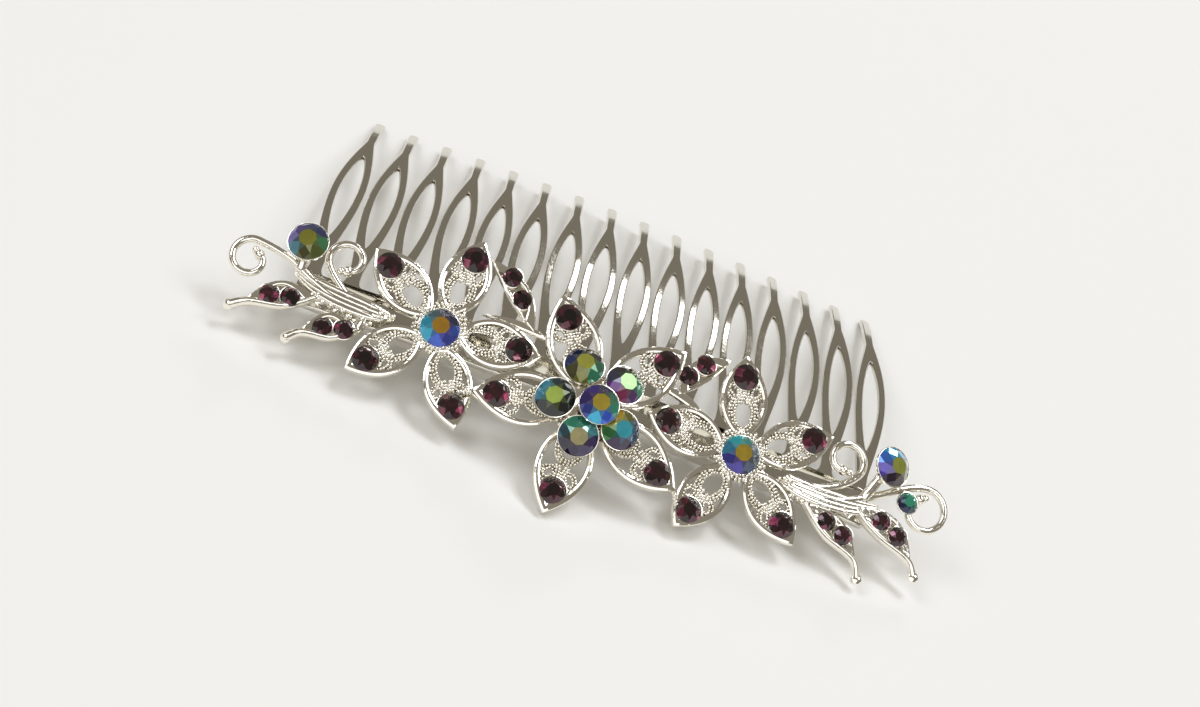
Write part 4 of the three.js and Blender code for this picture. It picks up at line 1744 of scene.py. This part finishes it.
RIGHT_UPPER_LEAF = UpperLeaf(
    "right_upper_leaf",
    leaf=Leaf((-1.2, -5.1), (4.3, 2.7), 2.7, 0.7, ((1.1, 0.6), (-0.7, -1.95))),
    ribbon=Leaf((-5.0, -5.0), (3.9, -6.9), 1.6, -0.2, ()),
)

# Crown colours go round each stone from +X, along the comb, by +Y, towards the teeth. Each is
# the coating's hue with painted reflection: facets that catch light are bright, and those facing
# the dim room are nearly black.
AURORA_HUES_AND_REFLECTIONS: dict[str, StoneHueAndReflection] = {
    "left_spray_end_stone": StoneHueAndReflection(
        "8c8a2e", ("3f7a4e", "26305e", "2b3a72", "54408c", "5a4a9c", "2a6f80", "4a4a20", "5f6a30")),
    "left_flower_centre_stone": StoneHueAndReflection(
        "a87d20", ("2e4aa0", "1c2450", "16204a", "4c6a70", "2a9fc0", "2aa8cc", "2c58c8", "3a48a8")),
    "right_flower_centre_stone": StoneHueAndReflection(
        "b59a2e", ("5a6a78", "6a7a88", "2f8f8a", "2ab0b8", "2a7fa0", "3a3a9a", "4036a0", "3a4c70")),
    "right_spray_end_stone": StoneHueAndReflection(
        "8c8f3a", ("6a7a3c", "5a7a50", "2fa0d8", "2fb0e0", "3a70c8", "4a3a9c", "24142e", "3a2030")),
    "right_spray_scroll_stone": StoneHueAndReflection(
        "2f8f70", ("2a7a68", "2f9f78", "34a080", "2a7060", "1c3050", "18204a", "1a2250", "20405a")),
    "cluster_stone_1": StoneHueAndReflection(
        "7fa860", ("2f8f70", "3a7f5a", "202a20", "141a18", "3a3a50", "5c2c78", "78204a", "5a3a70")),
    "cluster_stone_2": StoneHueAndReflection(
        "a0a040", ("3f7f60", "101614", "0e1212", "1c2850", "20306a", "4a4a28", "707028", "2f8060")),
    "cluster_stone_3": StoneHueAndReflection(
        "b8d060", ("18201c", "101814", "143038", "2a90a8", "2a80a0", "121820", "101414", "18201a")),
    "cluster_stone_4": StoneHueAndReflection(
        "7a7030", ("3a2a60", "50a0a8", "2c8070", "2f8f70", "2a5060", "1c1230", "20103a", "2a1a50")),
    "cluster_stone_5": StoneHueAndReflection(
        "3fb0c0", ("3a5a80", "2a4a70", "6a6a28", "b09a30", "8a8a2c", "2f7a3c", "2c1240", "281040")),
    "cluster_top_stone": StoneHueAndReflection(
        "a89430", ("2f8f70", "3a7a60", "28204a", "38267a", "32246a", "2c3c8c", "2aa8d0", "2c5ad0")),
}
# Dark purple glass with painted glints: the few pink facets stand for back facets catching light, and the
# high contrast lights or darkens facets at random.
AMETHYST_HUES_AND_GLINTS = (
    StoneHueAndReflection(
        "2a0d14", ("3c1018", "1c080c", "4a1622", "2a0d14", "4a1226", "14060a", "5a1a34", "240a10"),
        contrast=0.9,
    ),
    StoneHueAndReflection(
        "341018", ("a04468", "2a0d14", "1c080c", "4a1420", "300e18", "7a2a48", "1a070b", "3c1222"),
        contrast=0.9,
    ),
    StoneHueAndReflection(
        "220a10", ("1c080c", "3c1022", "2a0d14", "180609", "8c3a5a", "2c0c16", "3a101c", "4a1628"),
        contrast=0.9,
    ),
)


def set_stones(aurora: bpy.types.Material, amethyst: bpy.types.Material) -> None:
    """Sets every stone in its cup.

    Args:
        aurora: The iridescent glass.
        amethyst: The purple glass.
    """
    for seed, (node, hue_with_reflection) in enumerate(AURORA_HUES_AND_REFLECTIONS.items()):
        cut = ACCENT if node == "right_spray_scroll_stone" else LARGE
        Stone(f"{node}_cut", node, cut, hue_with_reflection, Slot.AURORA, 100 + seed).build(aurora)
    groups = (
        (("left_flower_petal", "centre_flower_petal", "right_flower_petal"), 5, PETAL),
        (("left_spray_leaf", "right_spray_leaf"), 4, LEAF),
        (("left_upper_leaf", "right_upper_leaf"), 2, LEAF),
    )
    purple = [
        (f"{owner}_stone_{k + 1}", cut)
        for owners, count, cut in groups for owner in owners for k in range(count)
    ]
    for seed, (node, cut) in enumerate(purple):
        hue_with_reflection = AMETHYST_HUES_AND_GLINTS[seed % len(AMETHYST_HUES_AND_GLINTS)]
        Stone(f"{node}_cut", node, cut, hue_with_reflection, Slot.AMETHYST, 200 + seed).build(amethyst)


# ---------------------------------------------------------------- studio


def outwards(azimuth: float, elevation: float) -> Vector:
    """Turns two angles into a direction away from the comb.

    Args:
        azimuth: Degrees round from the front of the comb towards its right.
        elevation: Degrees above the card.

    Returns:
        The direction, one unit long.
    """
    a, e = math.radians(azimuth), math.radians(elevation)
    return Vector((math.sin(a) * math.cos(e), -math.cos(a) * math.cos(e), math.sin(e)))


@dataclass(frozen=True)
class Softbox:
    """A soft rectangular light that faces the comb."""

    name: str
    azimuth: float
    elevation: float
    distance: float
    width: float
    height: float
    power: float
    colour: str = "ffffff"

    def build(self, target: Vector) -> None:
        """Hangs the light.

        Args:
            target: The point that it faces.
        """
        light = bpy.data.lights.new(self.name, "AREA")
        light.shape = "RECTANGLE"
        light.size, light.size_y = self.width, self.height
        light.energy = self.power
        light.color = linear(self.colour)[:3]
        lamp = bpy.data.objects.new(self.name, light)
        away = outwards(self.azimuth, self.elevation)
        lamp.location = target + away * self.distance
        lamp.rotation_mode = "QUATERNION"
        lamp.rotation_quaternion = away.to_track_quat("Z", "Y")
        bpy.context.scene.collection.objects.link(lamp)


@dataclass(frozen=True)
class Camera:
    """The viewpoint: in front of the comb and above it, turned so that it runs down to the right."""

    azimuth: float = -7.243
    elevation: float = 37.790
    roll: float = 26.235
    distance_mm: float = 356.99
    target_mm: tuple[float, float, float] = (0.18, -3.06, 4.84)
    lens_mm: float = 75.24
    sensor_mm: float = 36.0

    def build(self) -> None:
        """Sets the camera up."""
        data = bpy.data.cameras.new("camera")
        data.lens, data.sensor_width = self.lens_mm, self.sensor_mm
        data.clip_start, data.clip_end = 0.01, 20.0
        camera = bpy.data.objects.new("camera", data)
        around = math.radians(self.azimuth)
        back = outwards(self.azimuth, self.elevation)
        right = Vector((math.cos(around), math.sin(around), 0.0))
        up = back.cross(right)
        turn = Quaternion(back, math.radians(self.roll))
        right, up = turn @ right, turn @ up
        camera.location = Vector(self.target_mm) * MM + back * self.distance_mm * MM
        camera.rotation_mode = "QUATERNION"
        camera.rotation_quaternion = Matrix((right, up, back)).transposed().to_quaternion()
        bpy.context.scene.collection.objects.link(camera)
        bpy.context.scene.camera = camera


@dataclass(frozen=True)
class Studio:
    """A pale card, a dim warm room and soft lights."""

    room: str = "8c867b"
    room_strength: float = 0.86
    card_size: float = 3.0

    def build(self, middle: Vector) -> None:
        """Sets the studio up round the comb.

        Args:
            middle: The middle of the comb's box.
        """
        world = bpy.data.worlds.new("room")
        bpy.context.scene.world = world
        world.use_nodes = True
        background = world.node_tree.nodes["Background"]
        background.inputs["Color"].default_value = linear(self.room)
        background.inputs["Strength"].default_value = self.room_strength
        half = self.card_size / 2
        mesh = bpy.data.meshes.new("card")
        mesh.from_pydata(
            [(-half, -half, 0), (half, -half, 0), (half, half, 0), (-half, half, 0)], [], [(0, 1, 2, 3)],
        )
        mesh.materials.append(MattCard().build())
        card = bpy.data.objects.new("card", mesh)
        bpy.context.scene.collection.objects.link(card)
        card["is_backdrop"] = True
        for softbox in (
            Softbox("window_right", 140, 68, 1.6, 0.5, 0.48, 7.8, "f2f5fc"),
            Softbox("ceiling_right", 95, 55, 1.6, 0.7, 0.7, 5.4, "f0f4fc"),
            Softbox("ceiling_left", -85, 50, 1.6, 0.8, 0.8, 7.2, "f0f4fc"),
            Softbox("front_fill", -10, 38, 1.6, 2.2, 1.1, 9.6, "f7f9fc"),
            Softbox("back_panel", 172, 29, 0.9, 0.13, 0.15, 0.6, "ffffff"),
        ):
            softbox.build(middle)
        bpy.context.scene.view_settings.view_transform = "Standard"


# ---------------------------------------------------------------- making the comb


def corners(box: tuple[Vector, Vector]) -> list[list[float]]:
    """A box's two corners as plain lists."""
    return [[float(value) for value in corner] for corner in box]


def main() -> None:
    """Builds the studio and every piece of the comb."""
    logging.basicConfig(level=logging.INFO, format="%(name)s: %(message)s")
    cad = corners(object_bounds())
    low, high = Vector(cad[0]), Vector(cad[1])
    Camera().build()
    Studio().build((low + high) / 2)

    cast = CAST_PLATE.build()
    StampedComb().build(STAMPED_PLATE.build())
    for flower in (LEFT_FLOWER, CENTRE_FLOWER, RIGHT_FLOWER):
        flower.build(cast)
    StoneCluster(CENTRE_FLOWER).build(cast)
    for spray in (LEFT_SPRAY, RIGHT_SPRAY):
        spray.build(cast)
    for leaf in (LEFT_UPPER_LEAF, RIGHT_UPPER_LEAF):
        leaf.build(cast)
    solder = PLATED_SOLDER.build()
    joined = ("left_spray", "left_flower", "centre_flower", "right_flower", "right_spray")
    for seed, casting in enumerate(joined):
        SolderJoint(f"{casting}_solder", 40 + seed).build(solder)
    set_stones(AURORA_GLASS.build(), AMETHYST_GLASS.build())


if __name__ == "__main__":
    main()
